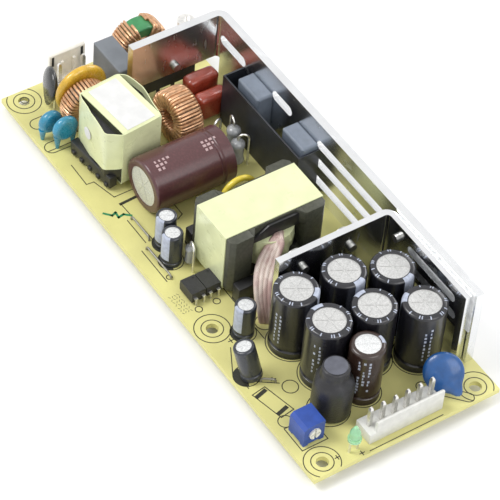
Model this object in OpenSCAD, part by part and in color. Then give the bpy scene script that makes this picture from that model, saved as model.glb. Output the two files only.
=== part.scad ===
/* [Board] */
// Length of the circuit board along X
board_l = 160; // [150:1:175]
// Width of the circuit board along Y
board_w = 60; // [58:1:68]
// Thickness of the circuit board
board_t = 1.6; // [1.2:0.1:2.4]
// Distance from the hole centres to the short edges of the board
hole_in_x = 4; // [3.5:0.1:5]
// Distance from the hole centres to its long edges
hole_in_y = 5.2; // [4.6:0.1:6]
// Bore of the mounting holes
hole_d = 3.5; // [3:0.1:4]
// X place of the fifth hole on the near long edge
mid_hole_x = 23.5; // [20:0.5:25]
// How far the heavy pins reach below the board
pin_out = 2.4; // [2:0.1:3.5]
// How far the ordinary solder joints reach below the board
joint_out = 1.7; // [1:0.1:1.9]

/* [Heatsinks] */
// Sheet thickness of the primary heatsink
primary_t = 2.5; // [2:0.1:3]
// Height of the primary heatsink above the board
primary_h = 27; // [24:0.5:32]
// Length of its long leg
primary_l = 125.5; // [122:0.5:128]
// Length of its cross leg
primary_cross = 31.7; // [28:0.1:33]
// Height of the cross leg's lower edge above the board
primary_clear = 11.2; // [10:0.1:14]
// Distance from the board's long edge to the primary heatsink
edge_gap = 0.3; // [0.2:0.1:1]
// Sheet thickness of the secondary heatsink
secondary_t = 2; // [1.5:0.1:2.4]
// Height of the secondary heatsink above the board
secondary_h = 26; // [24:0.5:27]
// Height of the lower edge of its long leg
secondary_clear = 12.5; // [10:0.5:14]
// Inner radius of both bends
bend_r = 1.2; // [0.8:0.1:2]
// Height of the ventilation slots
slot_h = 3.2; // [2:0.1:4]
// Thickness of the insulating sheet between the heatsinks
film_t = 0.3; // [0.2:0.05:0.4]

/* [Shield and switches] */
// Wall thickness of the black insulating shield
shield_t = 0.5; // [0.3:0.1:0.8]
// Height of the shield
shield_h = 18; // [15:0.5:19]
// Length of the shield along X
shield_l = 38; // [37:0.5:40]
// Height of the grey silicone caps above the board
boot_h = 19.8; // [19.5:0.1:23]
// Wall of the silicone caps
boot_t = 0.5; // [0.4:0.05:0.55]

/* [Capacitors] */
// Diameter of the six output capacitors
out_cap_d = 12.6; // [10:0.1:12.8]
// Height of the six output capacitors
out_cap_h = 22; // [16:0.5:25]
// Wall of every shrink sleeve
sleeve_t = 0.25; // [0.15:0.05:0.4]
// Diameter of the brown filter capacitor
filter_cap_d = 9.8; // [8:0.1:10]
// Height of the brown filter capacitor
filter_cap_h = 19.8; // [14:0.1:22]
// Diameter of the bulk capacitor
bulk_d = 16.6; // [14:0.1:16.8]
// Length of the bulk capacitor
bulk_l = 26; // [22:0.5:26.5]
// Diameter of the small capacitors
small_cap_d = 6; // [5:0.1:6.3]
// Height of the small capacitors
small_cap_h = 11.5; // [9:0.5:13]

/* [Magnetics] */
// Width of the transformer core along Y
core_w = 31; // [28:0.5:31.5]
// Depth of the transformer core along X
core_l = 20; // [18:0.5:21]
// Top of the transformer core above the board
core_top = 21.7; // [20:0.1:23]
// Length of the inductor core along X
inductor_l = 20.4; // [19:0.1:20.6]
// Top of the inductor above the board
inductor_top = 21.7; // [19:0.1:24]
// Diameter of the copper wire on the ring cores
wire_d = 0.8; // [0.5:0.05:0.9]

/* [Connectors] */
// Pitch of both pin headers
pin_pitch = 3.96; // [3.9:0.01:4]
// Side of the square header pins
pin_w = 1.1; // [0.8:0.05:1.3]
// Height of the header pins above the board
pin_h = 10.5; // [9:0.1:12]

/* [Trimmer] */
// Side of the trimmer body along X
trimmer_l = 6.8; // [6:0.1:7.5]
// Width of the trimmer body along Y
trimmer_w = 6.5; // [6:0.1:7]
// Height of the trimmer body
trimmer_h = 7.2; // [6.5:0.1:8]
// Diameter of the adjusting screw's head
screw_d = 3.5; // [3:0.1:4]
// Radial running clearance of the adjusting screw
screw_gap = 0.06; // [0.03:0.01:0.1]

/* [Hidden] */
$fn = 48;
eps = 0.01;                       // overlap of cutting bodies past a face
top = pin_out + board_t;          // upper face of the board
half_l = board_l / 2;
half_w = board_w / 2;
hole_x = half_l - hole_in_x;
hole_y = half_w - hole_in_y;

// Heatsink planes
pri_out_y = half_w - edge_gap;            // outer face of the primary long leg
pri_in_y = pri_out_y - primary_t;         // its inner face
pri_x = -57.5;                            // far face of the cross leg
sec_out_y = pri_in_y - film_t;            // outer face of the secondary long leg
sec_in_y = sec_out_y - secondary_t;
sec_x = 29.4;                             // far face of the secondary cross plate
sec_end_x = 66.5;                         // near end of its long leg
sec_low_y = -10.5;                        // low end of the cross plate
sec_screw_z = 19.7;                       // height of the rectifier screws
sec_screw_y = [-2.3, 13.2];
leg_screw_x = 36.5;
leg_screw_z = 21.5;
shield_y = pri_in_y - 7.2;                // outer face of the black shield
shield_far_x = -41.5;
screw_bore = 2.6;                         // clearance hole of the heatsink screws
screw_shank = 2.4;

// Places on the board, X and Y. Rows beside the secondary heatsink share the room that it leaves.
near_y = -26.5;
function across(share) = near_y + share * (sec_in_y - near_y);
out_cap_at = [[38.1, across(0.337)], [39.2, across(0.62)], [44.6, across(0.856)],
    [51.5, across(0.362)], [53.3, across(0.62)], [59.2, across(0.856)]];
filter_cap_at = [61.9, across(0.466)];
choke_r = 5.1;
choke_at = [63, filter_cap_at[1] - filter_cap_d / 2 - choke_r - 0.06];
trimmer_at = [62.7, near_y];
core_side_y = -core_w / 2;                // near side of the transformer core
small_cap_at = [[-9.1, -19.2], [-2.9, core_side_y - 5.7], [28.8, -18.3]];
lean_cap_at = [42.9, -24.9];              // foot of the leaning capacitor
lean_cap_tilt = [-10, -11];               // its lean about X and Y
bulk_at = [-24, -17.5];                   // axis and near end of the bulk capacitor
led_at = [77, -15.8];
led_low = 4.6;                            // lower face of its lens above the board
out_header_at = [71.2, -11.1];
in_header_at = [-78.6, -15.7];
core_x = -3;                              // far face of the transformer core

header_base = 3.6;                        // height of both housings' bases
header_w = 6.5;                           // width of the output one

// Leads, pins and their places
out_pin_at = [for (i = [0 : 5]) [out_header_at[0] + 3, out_header_at[1] + pin_pitch * (i + 0.5)]];
in_pin_at = [for (i = [0, 2]) [in_header_at[0] + 3.6, in_header_at[1] + pin_pitch * (i + 0.5)]];
cap_pin = 2.5;                            // half the lead spacing of the output capacitors
small_pin = 1.25;                         // the same for the small ones
lead_d = 0.6;                             // diameter of a component lead

// Power devices in their flat packages
device_w = 9.4;
device_t = 4.4;
device_h = 9;                             // height of the body
tab_t = 1.3;
tab_h = 6.4;                              // height of the tab above the body
device_pitch = 2.54;
pri_device_x = [-31.8, -9.4];
rect_z = sec_screw_z - device_h - tab_h + 2.9;  // lower edge of the rectifiers
bridge_y = 12.6;                          // middle of the bridge rectifier
bridge_z = 13.9;                          // height of its screw
bridge_t = 3.6;
screw_head_d = 5.2;
screw_head_h = 1.7;
screw_out = 1.2;                          // how far a screw's end stands out of its sheet
sunk_d = 4.8;                             // countersunk head of the screw through both legs
sunk_h = 1.2;

// Wound parts
turn_gap = 0.06;                          // slack of a turn inside the hole of its core
inductor_mid = [-43, -13.2];
inductor_d = 13.2;                        // depth of the inductor core along Y
inductor_low = 2;                         // its lower face above the board
inductor_back = 2.6;                      // thickness of its yoke
inductor_leg = 6;                         // width of its middle leg
inductor_side = 3;                        // width of its outer legs
inductor_bulge = 11.3;                    // reach of its winding along Y
inductor_round = 4.8;                     // corner radius of the tape around it
core_mid = [core_x + core_l / 2, 0];
core_low = 2.5;                           // lower face of the transformer core
core_back = 4.5;                          // thickness of its yoke
core_side = 7;                            // width of its outer legs
core_chamfer = 1.4;                       // on the upright edges of these legs
core_notch = 1.7;                         // set-back of the yokes between the legs
coil_t = 2.5;                             // thickness of the transformer's coil
coil_bulge = 1.8;                         // how far the coil is drawn out towards both ends
winding_d = core_w - 2 * core_side - 0.6; // over the tape of the coil
tube_d = winding_d - 2 * coil_t;          // outside of the bobbin's tube
tube_t = 1;                               // its wall, with the gap around the middle leg
core_leg_d = tube_d - 2 * tube_t;         // diameter of the core's middle leg
flange_t = 0.9;
tape_t = 0.3;
rail_low = 1;                             // gap below the pin rails
rail_gap = 0.2;                           // gap between a rail and its core
inductor_rail_w = 2.8;
core_rail_w = 3.3;
pin_d = 0.8;
inductor_pin_at = [for (i = [-2 : 2], s = [-1, 1])
    inductor_mid + [3.6 * i, s * (inductor_d / 2 + rail_gap + inductor_rail_w / 2)]];
core_pin_at = [for (i = [-3 : 3], s = [-1, 1])
    core_mid + [s * (core_l / 2 + rail_gap + core_rail_w / 2), 3.8 * i]];
core_band_w = 14.2;                       // width of the tape around the core
inductor_band_w = 12.6;
litz_turn = -26.6;                        // direction in which the heavy leads leave
litz_reach = 23.5;                        // their end, measured from the core's axis
litz_d = 1.1;
litz_step = 1.25;

// Ring chokes: middle, then inner radius, outer radius and width of the core
line_choke_mid = [-60, -14, 7.7];
line_choke_ring = [3.4, 6.6, 4.3];
green_choke_mid = [-74, 12.4, 7.8];
green_choke_ring = [3.9, 7.4, 6];
toroid_mid = [-42.5, 6, 8.4];
toroid_ring = [4.2, 7.4, 6.5];

// Dipped and boxed parts
varistor_at = [-64.7, -12.8, 9];
thermistor_at = [-71.2, -19, 9.1];
thermistor_spread = 5;
blue_disc_at = [74, 17.2, 7];
y_cap_at = [[-55.3, -23.6, 6.8], [-60.3, -25.5, 5.9]];
y_cap_d = [8, 7.4];
y_cap_t = 2.8;
film_at = [[-53.2, 13.5], [-47, 13.5]];   // low corners of the two film capacitors
film_size = [[5, 10.5, 10.7], [4.8, 10, 8.7]];
film_low = 0.8;
x_cap_at = [-74.3, -3];
x_cap_size = [14.3, 6.5, 14.5];
opto_size = [6.4, 4.5, 3.4];
opto_low = 0.8;
opto_near = core_side_y - 0.4 - opto_size[1];
opto_at = [[7.4, opto_near - opto_size[1] - 0.2], [7.4, opto_near]];

// Upright axial parts: place, diameter, height, turn of the returning lead
axial_at = [[-29.5, shield_y - 3.6, 4.3, 9, 165], [-24.4, shield_y - 5.6, 4.3, 9, 60],
    [0.8, core_side_y - 2.1, 3, 7, -15], [-33.6, 12.4, 2.4, 6.5, 110]];
axial_low = 0.8;
axial_reach = 3.1;
axial_lead_d = 0.7;
// Jumper wires: place, length, heading
jumper_at = [[[-9.6, small_cap_at[1][1] - 3.7], 12.5, 0], [[-21.3, -22.5], 9.2, 0], [[45.5, -23.8], 4, 55]];
fuse_at = [-70, half_w - 4];
fuse_low = 3;
fuse_cap_d = 5.3;
fuse_cap_h = 2.6;
fuse_glass_h = 5;
sleeved_at = [-9.2, -0.5];
heatsink_foot_x = [-48, 6, 60];           // heavy pins of the primary heatsink
cross_foot_y = 9;                         // and of the secondary one

// Cans: rounded upper edge, crimped groove and opening of the sleeve
can_edge = 0.9;
groove_z = 3;
groove_in = 0.45;
opening = 0.36;                           // radius of the opening as a share of the diameter
vent_reach = 0.3;
small_edge = 0.6;

// Windows of the wound parts
inductor_window = inductor_low + inductor_back;
inductor_roof = inductor_top - inductor_back;
core_window = core_low + core_back;
core_roof = core_top - core_back;

// Trimmer
trimmer_bore_h = 2.2;
trimmer_screw_y = 3.3;                    // screw axis from the low side of the body
trimmer_screw_z = 3.9;
trimmer_foot = 0.5;                       // height of its feet
trim_out = 0.5;                           // how far the screw stands out of its bore

// ---- Shared shapes ----
// A rectangle with round corners, its low corner at the origin.
module round_rect(l, w, r) {
    translate([r, 0]) square([l - 2 * r, w]);
    translate([0, r]) square([l, w - 2 * r]);
    for (x = [r, l - r], y = [r, w - r]) translate([x, y]) circle(r);
}

// A block whose upright and upper edges are rounded.
module soft_block(l, w, h, r) {
    intersection() {
        linear_extrude(h) round_rect(l, w, r);
        translate([0, w, -r]) rotate([90, 0, 0]) linear_extrude(w) round_rect(l, h + r, r);
        translate([0, 0, -r]) rotate([90, 0, 90]) linear_extrude(l) round_rect(w, h + r, r);
    }
}

// Cutter for a long slot with round ends in a sheet that lies along X.
module slot_cut(x_from, x_to, z, h, y, t) {
    translate([x_from, y + t + eps, z - h / 2]) rotate([90, 0, 0])
        linear_extrude(t + 2 * eps) round_rect(x_to - x_from, h, h / 2 - eps);
}

// Plan of a sheet bent once: a long leg along +X and a cross leg along -Y.
module bent_sheet(long_leg, cross_leg, t, r) {
    outer = r + t;
    translate([outer, -t]) square([long_leg - outer, t]);
    translate([0, -cross_leg]) square([t, cross_leg - outer]);
    intersection() {
        translate([outer, -outer]) difference() {
            circle(outer);
            circle(r);
        }
        translate([0, -outer]) square(outer);
    }
}

// An upright wire from one height to another.
module wire(at, z_from, z_to, d) {
    translate([at[0], at[1], z_from]) cylinder(d = d, h = z_to - z_from);
}

// A wire that rises, turns over in a half ring and comes down at "reach" along X.
module wire_arch(reach, z_from, z_top, z_to, d) {
    straight = z_top - reach / 2;
    translate([0, 0, z_from]) cylinder(d = d, h = straight - z_from);
    translate([reach, 0, z_to]) cylinder(d = d, h = straight - z_to);
    translate([reach / 2, 0, straight]) rotate([90, 0, 0])
        rotate_extrude(angle = 180) translate([reach / 2, 0]) circle(d = d);
}

// A wire that runs out along X, turns down in a quarter ring and drops to the board.
module wire_drop(reach, z_top, bend, d) {
    translate([0, 0, z_top]) rotate([0, 90, 0]) cylinder(d = d, h = reach - bend);
    translate([reach - bend, 0, z_top - bend]) rotate([90, 0, 0])
        rotate_extrude(angle = 90) translate([bend, 0]) circle(d = d);
    translate([reach, 0, top]) cylinder(d = d, h = z_top - bend - top);
}

// Half profile of a can, "inset" inside its outer surface: round upper edge, crimped groove.
module can_profile(d, h, edge, groove_z, groove_in, inset = 0) {
    r = d / 2 - inset;
    round_r = edge - inset;
    difference() {
        union() {
            square([r, h - edge]);
            square([r - round_r, h - inset]);
            translate([r - round_r, h - edge]) circle(round_r);
        }
        translate([d / 2 + groove_in, groove_z]) circle(2 * groove_in + inset);
    }
}

module can(d, h, edge, groove_z, groove_in) {
    rotate_extrude() intersection() {
        can_profile(d, h, edge, groove_z, groove_in, sleeve_t);
        square([d, h]);
    }
}

// Shrink sleeve of a can. It curls over the top and leaves a round opening there.
module sleeve(d, h, edge, groove_z, groove_in, open_r) {
    rotate_extrude() difference() {
        can_profile(d, h, edge, groove_z, groove_in);
        can_profile(d, h, edge, groove_z, groove_in, sleeve_t);
        translate([-eps, h / 2]) square([open_r + eps, h]);
    }
}

// Three crossing vent lines to press into the top of a can.
module vent_cut(r, z) {
    for (a = [0, 60, 120])
        rotate(a) translate([-r, -0.15, z - 0.12]) cube([2 * r, 0.3, 1]);
}

// A flat dipped disc with round edges. Its axis is X and its centre the origin.
module dipped_disc(d, t) {
    rotate([0, 90, 0]) rotate_extrude() intersection() {
        union() {
            translate([0, -t / 2]) square([(d - t) / 2, t]);
            translate([(d - t) / 2, 0]) circle(t / 2);
        }
        translate([0, -t / 2]) square([d / 2, t]);
    }
}

// A dipped disc capacitor on the board: the coating runs down both leads.
module dipped_capacitor(d, t, z, spread) {
    translate([0, 0, z]) dipped_disc(d, t);
    for (s = [-1, 1])
        translate([0, s * spread / 2, 0]) cylinder(r1 = 0.5, r2 = t / 2 - 0.2, h = z - d / 4);
}

// One closed turn of wire around a ring core whose axis is Z.
module turn(r_in, r_out, w, d) {
    rotate([90, 0, 0]) linear_extrude(d, center = true) difference() {
        translate([r_in - turn_gap - d, -w / 2 - d])
            round_rect(r_out - r_in + turn_gap + 2 * d, w + 2 * d, 0.9 * d, $fn = 8);
        translate([r_in - turn_gap, -w / 2]) square([r_out - r_in + turn_gap, w]);
    }
}

// Turns side by side over a part of a ring core, as many as its hole takes.
module ring_winding(ring, d, sweep = 360, middle = 0) {
    step = 2 * asin((d / 2 + turn_gap) / (ring[0] - turn_gap - d));
    n = floor(sweep / step);
    for (i = [0 : n - 1])
        rotate(middle + (i - (n - 1) / 2) * sweep / n) turn(ring[0], ring[1], ring[2], d);
}

module ring_core(ring, edge = 0.6) {
    rotate_extrude() translate([ring[0], -ring[2] / 2]) round_rect(ring[1] - ring[0], ring[2], edge);
}

// A power device standing on its leads. The back of its tab is the plane y = 0.
module power_device(z, hole_z) {
    difference() {
        union() {
            translate([-device_w / 2, -device_t, z]) cube([device_w, device_t, device_h]);
            translate([-device_w / 2, -tab_t, z]) cube([device_w, tab_t, device_h + tab_h]);
        }
        translate([0, eps, hole_z]) rotate([90, 0, 0])
            cylinder(d = screw_bore + 0.4, h = tab_t + 2 * eps);
    }
    for (i = [-1 : 1])
        translate([i * device_pitch - 0.4, -tab_t - 1.5, top]) cube([0.8, 0.5, z - top]);
}

// A cross-recessed screw along -Y whose head sits on the plane y = 0.
module screw(shank) {
    recess = [2.8, 1, 0.6];
    difference() {
        translate([0, screw_head_h, 0]) rotate([90, 0, 0]) cylinder(d = screw_head_d, h = screw_head_h);
        for (a = [45, 135])
            translate([0, screw_head_h - 0.7, 0]) rotate([0, a, 0])
                translate([-recess[0] / 2, 0, -recess[2] / 2]) cube(recess);
    }
    rotate([90, 0, 0]) cylinder(d = screw_shank, h = shank);
}

// A countersunk head along -Y, flush with the plane y = 0, larger all round by "grow".
module sunk_head(grow) {
    rotate([90, 0, 0]) cylinder(d1 = sunk_d + 2 * grow, d2 = screw_shank + 2 * grow, h = sunk_h);
}

// A heavy pin below the board with its cone of solder.
module heavy_tip(at, d, cone_d) {
    wire(at, 0, pin_out, d);
    translate([at[0], at[1], pin_out - 1]) cylinder(d1 = d, d2 = cone_d, h = 1);
}

// The solder cone of a thin lead below the board.
module joint_tip(at) {
    translate([at[0], at[1], pin_out - joint_out]) cylinder(d1 = 0.8, d2 = 1.9, h = joint_out, $fn = 8);
}

// A pin rail of a bobbin: its length lies along Y, its feet stand on the board.
module pin_rail(l, w, h, pins, pitch) {
    difference() {
        translate([-w / 2, -l / 2, top + rail_low]) cube([w, l, h - rail_low]);
        for (i = [0 : pins - 1])
            translate([0, (i - (pins - 1) / 2) * pitch, top]) cylinder(d = pin_d, h = rail_low + 2);
    }
    for (s = [-1, 1])
        translate([-w / 2, s * (l / 2 - 0.6) - 0.6, top]) cube([w, 1.2, rail_low]);
}

// ---- Board ----
module pcb() {
    color("burlywood") translate([0, 0, pin_out]) linear_extrude(board_t) difference() {
        square([board_l, board_w], center = true);
        for (x = [-1, 1], y = [-1, 1])
            translate([x * hole_x, y * hole_y]) circle(d = hole_d);
        translate([mid_hole_x, -hole_y]) circle(d = hole_d);
    }
}

// The longest pins below the board. The supply stands on them when it lies on a table.
module heavy_pin_tips() {
    color("silver") {
        for (x = heatsink_foot_x) heavy_tip([x, pri_in_y + primary_t / 2], 1.8, 3);
        heavy_tip([sec_x + secondary_t / 2, cross_foot_y], 1.6, 3);
        for (at = in_pin_at) heavy_tip(at, pin_w, 2.4);
        for (at = out_pin_at) heavy_tip(at, pin_w, 2.4);
    }
}

module solder_joints() {
    color("silver") {
        for (at = concat(core_pin_at, inductor_pin_at)) joint_tip(at);
        for (at = concat(out_cap_at, [filter_cap_at, bulk_at + [0, bulk_l + 1]]), s = [-1, 1])
            joint_tip(at + [s * cap_pin, 0]);
        for (at = concat(small_cap_at, [lean_cap_at]), s = [-1, 1]) joint_tip(at + [s * small_pin, 0]);
        for (x = pri_device_x, i = [-1 : 1])
            joint_tip([x + i * device_pitch, pri_in_y - boot_t - tab_t - 1.25]);
        for (y = sec_screw_y, i = [-1 : 1]) joint_tip([sec_x - tab_t - 1.25, y + i * device_pitch]);
        for (i = [-1.5 : 1.5]) joint_tip([pri_x - bridge_t / 2, bridge_y + i * 5]);
        for (at = opto_at, x = [-0.6, opto_size[0] + 0.6], s = [-1, 1])
            joint_tip(at + [x, opto_size[1] / 2 + s * 1.27]);
        for (p = axial_at) {
            joint_tip([p[0], p[1]]);
            joint_tip([p[0], p[1]] + axial_reach * [cos(p[4]), sin(p[4])]);
        }
        for (s = [-1, 1]) {
            joint_tip(led_at + [0, s * 1.27]);
            joint_tip([varistor_at[0], varistor_at[1] + s * 3.75]);
            joint_tip([thermistor_at[0] + s * thermistor_spread / 2, thermistor_at[1]]);
        }
    }
}

// ---- Heatsinks ----
module primary_heatsink() {
    slots = [[3.6, 16.4, 19, 3.4], [30.2, 39.8, 19.7, 3.4], [52.5, 84.5, 19.7, slot_h],
        [52.5, 84.5, 13, slot_h], [52.5, 84.5, 6.3, slot_h]];
    cut_h = primary_clear + eps;
    color("gainsboro") translate([pri_x, pri_out_y, top]) difference() {
        linear_extrude(primary_h) bent_sheet(primary_l, primary_cross, primary_t, bend_r);
        translate([-eps, -primary_cross - eps, -eps])
            cube([primary_t + bend_r + eps, primary_cross + 2 * eps, cut_h]);
        translate([-eps, 0, 0]) rotate([90, 0, 90]) linear_extrude(primary_t + 2 * eps)
            polygon([[-primary_cross - eps, 0], [-primary_cross + 2.5, primary_clear],
                [-primary_cross - eps, primary_clear + 2.5]]);
        for (s = slots) slot_cut(s[0], s[1], s[2], s[3], -primary_t, primary_t);
        translate([-eps, bridge_y - pri_out_y, bridge_z]) rotate([0, 90, 0])
            cylinder(d = screw_bore, h = primary_t + 2 * eps);
        translate([leg_screw_x - pri_x, 0, leg_screw_z]) {
            sunk_head(0.05);
            translate([0, eps, 0]) rotate([90, 0, 0])
                cylinder(d = screw_shank + 0.1, h = primary_t + 2 * eps);
        }
    }
}

module secondary_heatsink() {
    leg_l = sec_end_x - sec_x;
    cross_l = sec_out_y - sec_low_y;
    bend = secondary_t + bend_r;
    color("gainsboro") translate([sec_x, sec_out_y, top]) difference() {
        linear_extrude(secondary_h) bent_sheet(leg_l, cross_l, secondary_t, bend_r);
        translate([bend, -secondary_t - eps, -eps])
            cube([leg_l - bend - 2.4, secondary_t + 2 * eps, secondary_clear + eps]);
        for (y = [[-cross_l + 6, 9], [-cross_l + 22, 12]])
            translate([-eps, y[0], -eps]) cube([secondary_t + 2 * eps, y[1], 3]);
        slot_cut(11.6, 32.9, 21.4, 3, -secondary_t, secondary_t);
        slot_cut(14.6, 34.1, 15.8, 3, -secondary_t, secondary_t);
        for (y = sec_screw_y)
            translate([-eps, y - sec_out_y, sec_screw_z]) rotate([0, 90, 0])
                cylinder(d = screw_bore, h = secondary_t + 2 * eps);
        translate([leg_screw_x - sec_x, eps, leg_screw_z]) rotate([90, 0, 0])
            cylinder(d = screw_bore, h = secondary_t + 2 * eps);
    }
}

module insulating_film() {
    film_x = sec_x + 3.6;
    film_out = 0.8;                       // how far it stands past the leg's end
    color("darkkhaki") translate([film_x, sec_out_y, top]) difference() {
        translate([0, 0, secondary_clear - 0.5])
            cube([sec_end_x + film_out - film_x, film_t, secondary_h - secondary_clear + 0.9]);
        translate([leg_screw_x - film_x, -eps, leg_screw_z]) rotate([-90, 0, 0])
            cylinder(d = screw_bore, h = film_t + 2 * eps);
    }
}

module heatsink_screws() {
    color("lightsteelblue") translate([0, 0, top]) {
        for (y = sec_screw_y)
            translate([sec_x - tab_t, y, sec_screw_z]) rotate(90) screw(tab_t + secondary_t + screw_out);
        translate([pri_x - bridge_t, bridge_y, bridge_z]) rotate(90)
            screw(bridge_t + primary_t + screw_out);
        translate([leg_screw_x, pri_out_y, leg_screw_z]) {
            sunk_head(0);
            rotate([90, 0, 0]) cylinder(d = screw_shank, h = pri_out_y - sec_in_y + screw_out);
        }
    }
}

module insulating_shield() {
    wall = pri_in_y - shield_y;
    color("dimgray") translate([shield_far_x, shield_y, top]) {
        cube([shield_l, shield_t, shield_h]);
        for (x = [0, shield_l - shield_t]) translate([x, 0, 0]) cube([shield_t, wall, shield_h]);
    }
}

// ---- Power devices ----
module power_transistors() {
    color("darkslategray") for (x = pri_device_x)
        translate([x, pri_in_y - boot_t, 0])
            power_device(top + boot_h - boot_t - device_h - tab_h, top + boot_h - boot_t - 2.9);
}

module silicone_caps() {
    boot_w = device_w + 2 * boot_t;
    boot_d = device_t + 2 * boot_t;
    boot_low = 4.6;
    color("slategray") for (x = pri_device_x)
        translate([x - boot_w / 2, pri_in_y - boot_d, top + boot_low]) difference() {
            soft_block(boot_w, boot_d, boot_h - boot_low, 0.8);
            translate([boot_t, boot_t, -eps]) cube([device_w, device_t, boot_h - boot_low - boot_t + eps]);
        }
}

module output_rectifiers() {
    color("darkslategray") for (y = sec_screw_y)
        translate([sec_x, y, 0]) rotate(-90) power_device(top + rect_z, top + sec_screw_z);
}

module bridge_rectifier() {
    bridge_w = 17.6;
    bridge_h = 18;
    bridge_low = 4;
    color("darkslategray") translate([pri_x - bridge_t, bridge_y - bridge_w / 2, top]) {
        difference() {
            translate([0, 0, bridge_low]) cube([bridge_t, bridge_w, bridge_h]);
            translate([-eps, bridge_w / 2, bridge_z]) rotate([0, 90, 0])
                cylinder(d = screw_bore + 0.4, h = bridge_t + 2 * eps);
        }
        for (i = [-1.5 : 1.5])
            translate([bridge_t / 2 - 0.3, bridge_w / 2 + i * 5 - 0.5, 0]) cube([0.6, 1, bridge_low]);
    }
}

// ---- Connectors ----
module header_pin(at) {
    tip_h = 0.8;
    translate([at[0] - pin_w / 2, at[1] - pin_w / 2, top]) cube([pin_w, pin_w, pin_h - tip_h]);
    translate([at[0], at[1], top + pin_h - tip_h]) rotate(45)
        cylinder(r1 = pin_w / sqrt(2), r2 = 0.55 * pin_w / sqrt(2), h = tip_h, $fn = 4);
}

module pin_bore(at) {
    translate([at[0] - pin_w / 2, at[1] - pin_w / 2, top - eps]) cube([pin_w, pin_w, pin_h]);
}

// Profile of a header housing across its row: a base, and a lock wall with a slanted top.
module header_profile(base_w, base_h, wall_w, wall_h) {
    slant = 0.5 * wall_w;
    polygon([[0, 0], [base_w, 0], [base_w, base_h], [wall_w, base_h], [wall_w, wall_h - slant],
        [wall_w - slant, wall_h], [0, wall_h]]);
}

module input_header_housing() {
    l = 3 * pin_pitch;
    color("ivory") difference() {
        translate([in_header_at[0], in_header_at[1], top]) {
            translate([0, l, 0]) rotate([90, 0, 0]) linear_extrude(l)
                header_profile(7.5, header_base, 1.4, 12.5);
            for (y = [pin_pitch, 2 * pin_pitch]) translate([1.4 - eps, y - 0.5, 0]) cube([0.8, 1, 9]);
        }
        for (at = in_pin_at) pin_bore(at);
    }
}

module input_header_pins() {
    color("silver") for (at = in_pin_at) header_pin(at);
}

module output_header_housing() {
    l = 6 * pin_pitch;
    wall_from = 2.1;                      // the lock wall leaves the first pin free
    notch = [1, 0.8, 0.6];                // between the pins, in the upper far edge
    color("ivory") difference() {
        translate([out_header_at[0], out_header_at[1], top]) {
            cube([header_w, l, header_base]);
            translate([header_w, l, 0]) mirror([1, 0, 0]) rotate([90, 0, 0])
                linear_extrude(l - wall_from) header_profile(header_w, header_base, 1.3, 7.5);
        }
        for (at = out_pin_at) pin_bore(at);
        translate([out_header_at[0] - eps, out_header_at[1] - notch[1] / 2, top + header_base - notch[2]])
            for (i = [1 : 5]) translate([0, i * pin_pitch, 0]) cube(notch + [0, 0, eps]);
    }
}

module output_header_pins() {
    color("silver") for (at = out_pin_at) header_pin(at);
}

// ---- Input parts ----
module fuse_tube() {
    glass_low = top + fuse_low + fuse_cap_h;
    color("lightcyan") translate([fuse_at[0], fuse_at[1], glass_low]) difference() {
        cylinder(d = fuse_cap_d - 0.4, h = fuse_glass_h);
        translate([0, 0, -eps]) cylinder(d = fuse_cap_d - 1.6, h = fuse_glass_h + 2 * eps);
    }
}

module fuse_leads() {
    upper = top + fuse_low + fuse_cap_h + fuse_glass_h;
    color("silver") translate([fuse_at[0], fuse_at[1], 0]) {
        for (z = [top + fuse_low, upper]) translate([0, 0, z]) cylinder(d = fuse_cap_d, h = fuse_cap_h);
        wire([0, 0], top, top + fuse_low, 0.8);
        wire([0, 0], upper - fuse_glass_h, upper, 0.4);
        rotate(-20) wire_arch(4.2, upper + fuse_cap_h, upper + fuse_cap_h + 3, top, 0.8);
    }
}

module thermistor_leads() {
    for (s = [-1, 1])
        wire([thermistor_at[0] + s * thermistor_spread / 2, thermistor_at[1]],
            top, top + thermistor_at[2], 0.8);
}

module thermistor_disc() {
    color("darkolivegreen") difference() {
        translate([thermistor_at[0], thermistor_at[1], top + thermistor_at[2]])
            rotate(90) dipped_disc(9.5, 3.6);
        thermistor_leads();
    }
}

module varistor_disc() {
    color("goldenrod") translate([varistor_at[0], varistor_at[1], top])
        dipped_capacitor(16.5, 2.6, varistor_at[2], 7.5);
}

module y_capacitors() {
    color("teal") for (i = [0, 1])
        translate([y_cap_at[i][0], y_cap_at[i][1], top])
            dipped_capacitor(y_cap_d[i], y_cap_t, y_cap_at[i][2], 5);
}

module disc_leads() {
    color("silver") {
        thermistor_leads();
        for (i = [0, 1], y = [2.5, film_size[i][1] - 2.5])
            wire([film_at[i][0] + film_size[i][0] / 2, film_at[i][1] + y], top, top + film_low, lead_d);
    }
}

module x_capacitor() {
    color("gray") translate([x_cap_at[0], x_cap_at[1], top])
        soft_block(x_cap_size[0], x_cap_size[1], x_cap_size[2], 0.5);
}

module film_capacitors() {
    color("brown") for (i = [0, 1])
        translate([film_at[i][0], film_at[i][1], top + film_low])
            soft_block(film_size[i][0], film_size[i][1], film_size[i][2], 1.4);
}

module blue_disc_capacitor() {
    color("steelblue") translate([blue_disc_at[0], blue_disc_at[1], top]) rotate(-48.6)
        dipped_capacitor(10.8, 3.4, blue_disc_at[2], 5);
}

// ---- Ring chokes ----
module line_choke_pose() {
    translate(line_choke_mid + [0, 0, top]) rotate([0, 90, 0]) children();
}

module line_choke_core() {
    color("dimgray") line_choke_pose() ring_core(line_choke_ring);
}

module line_choke_winding() {
    color("peru") line_choke_pose() ring_winding(line_choke_ring, wire_d);
}

module green_choke_pose() {
    translate(green_choke_mid + [0, 0, top]) rotate([0, 90, 0]) children();
}

module green_choke_core() {
    color("seagreen") green_choke_pose() ring_core(green_choke_ring);
}

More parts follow.
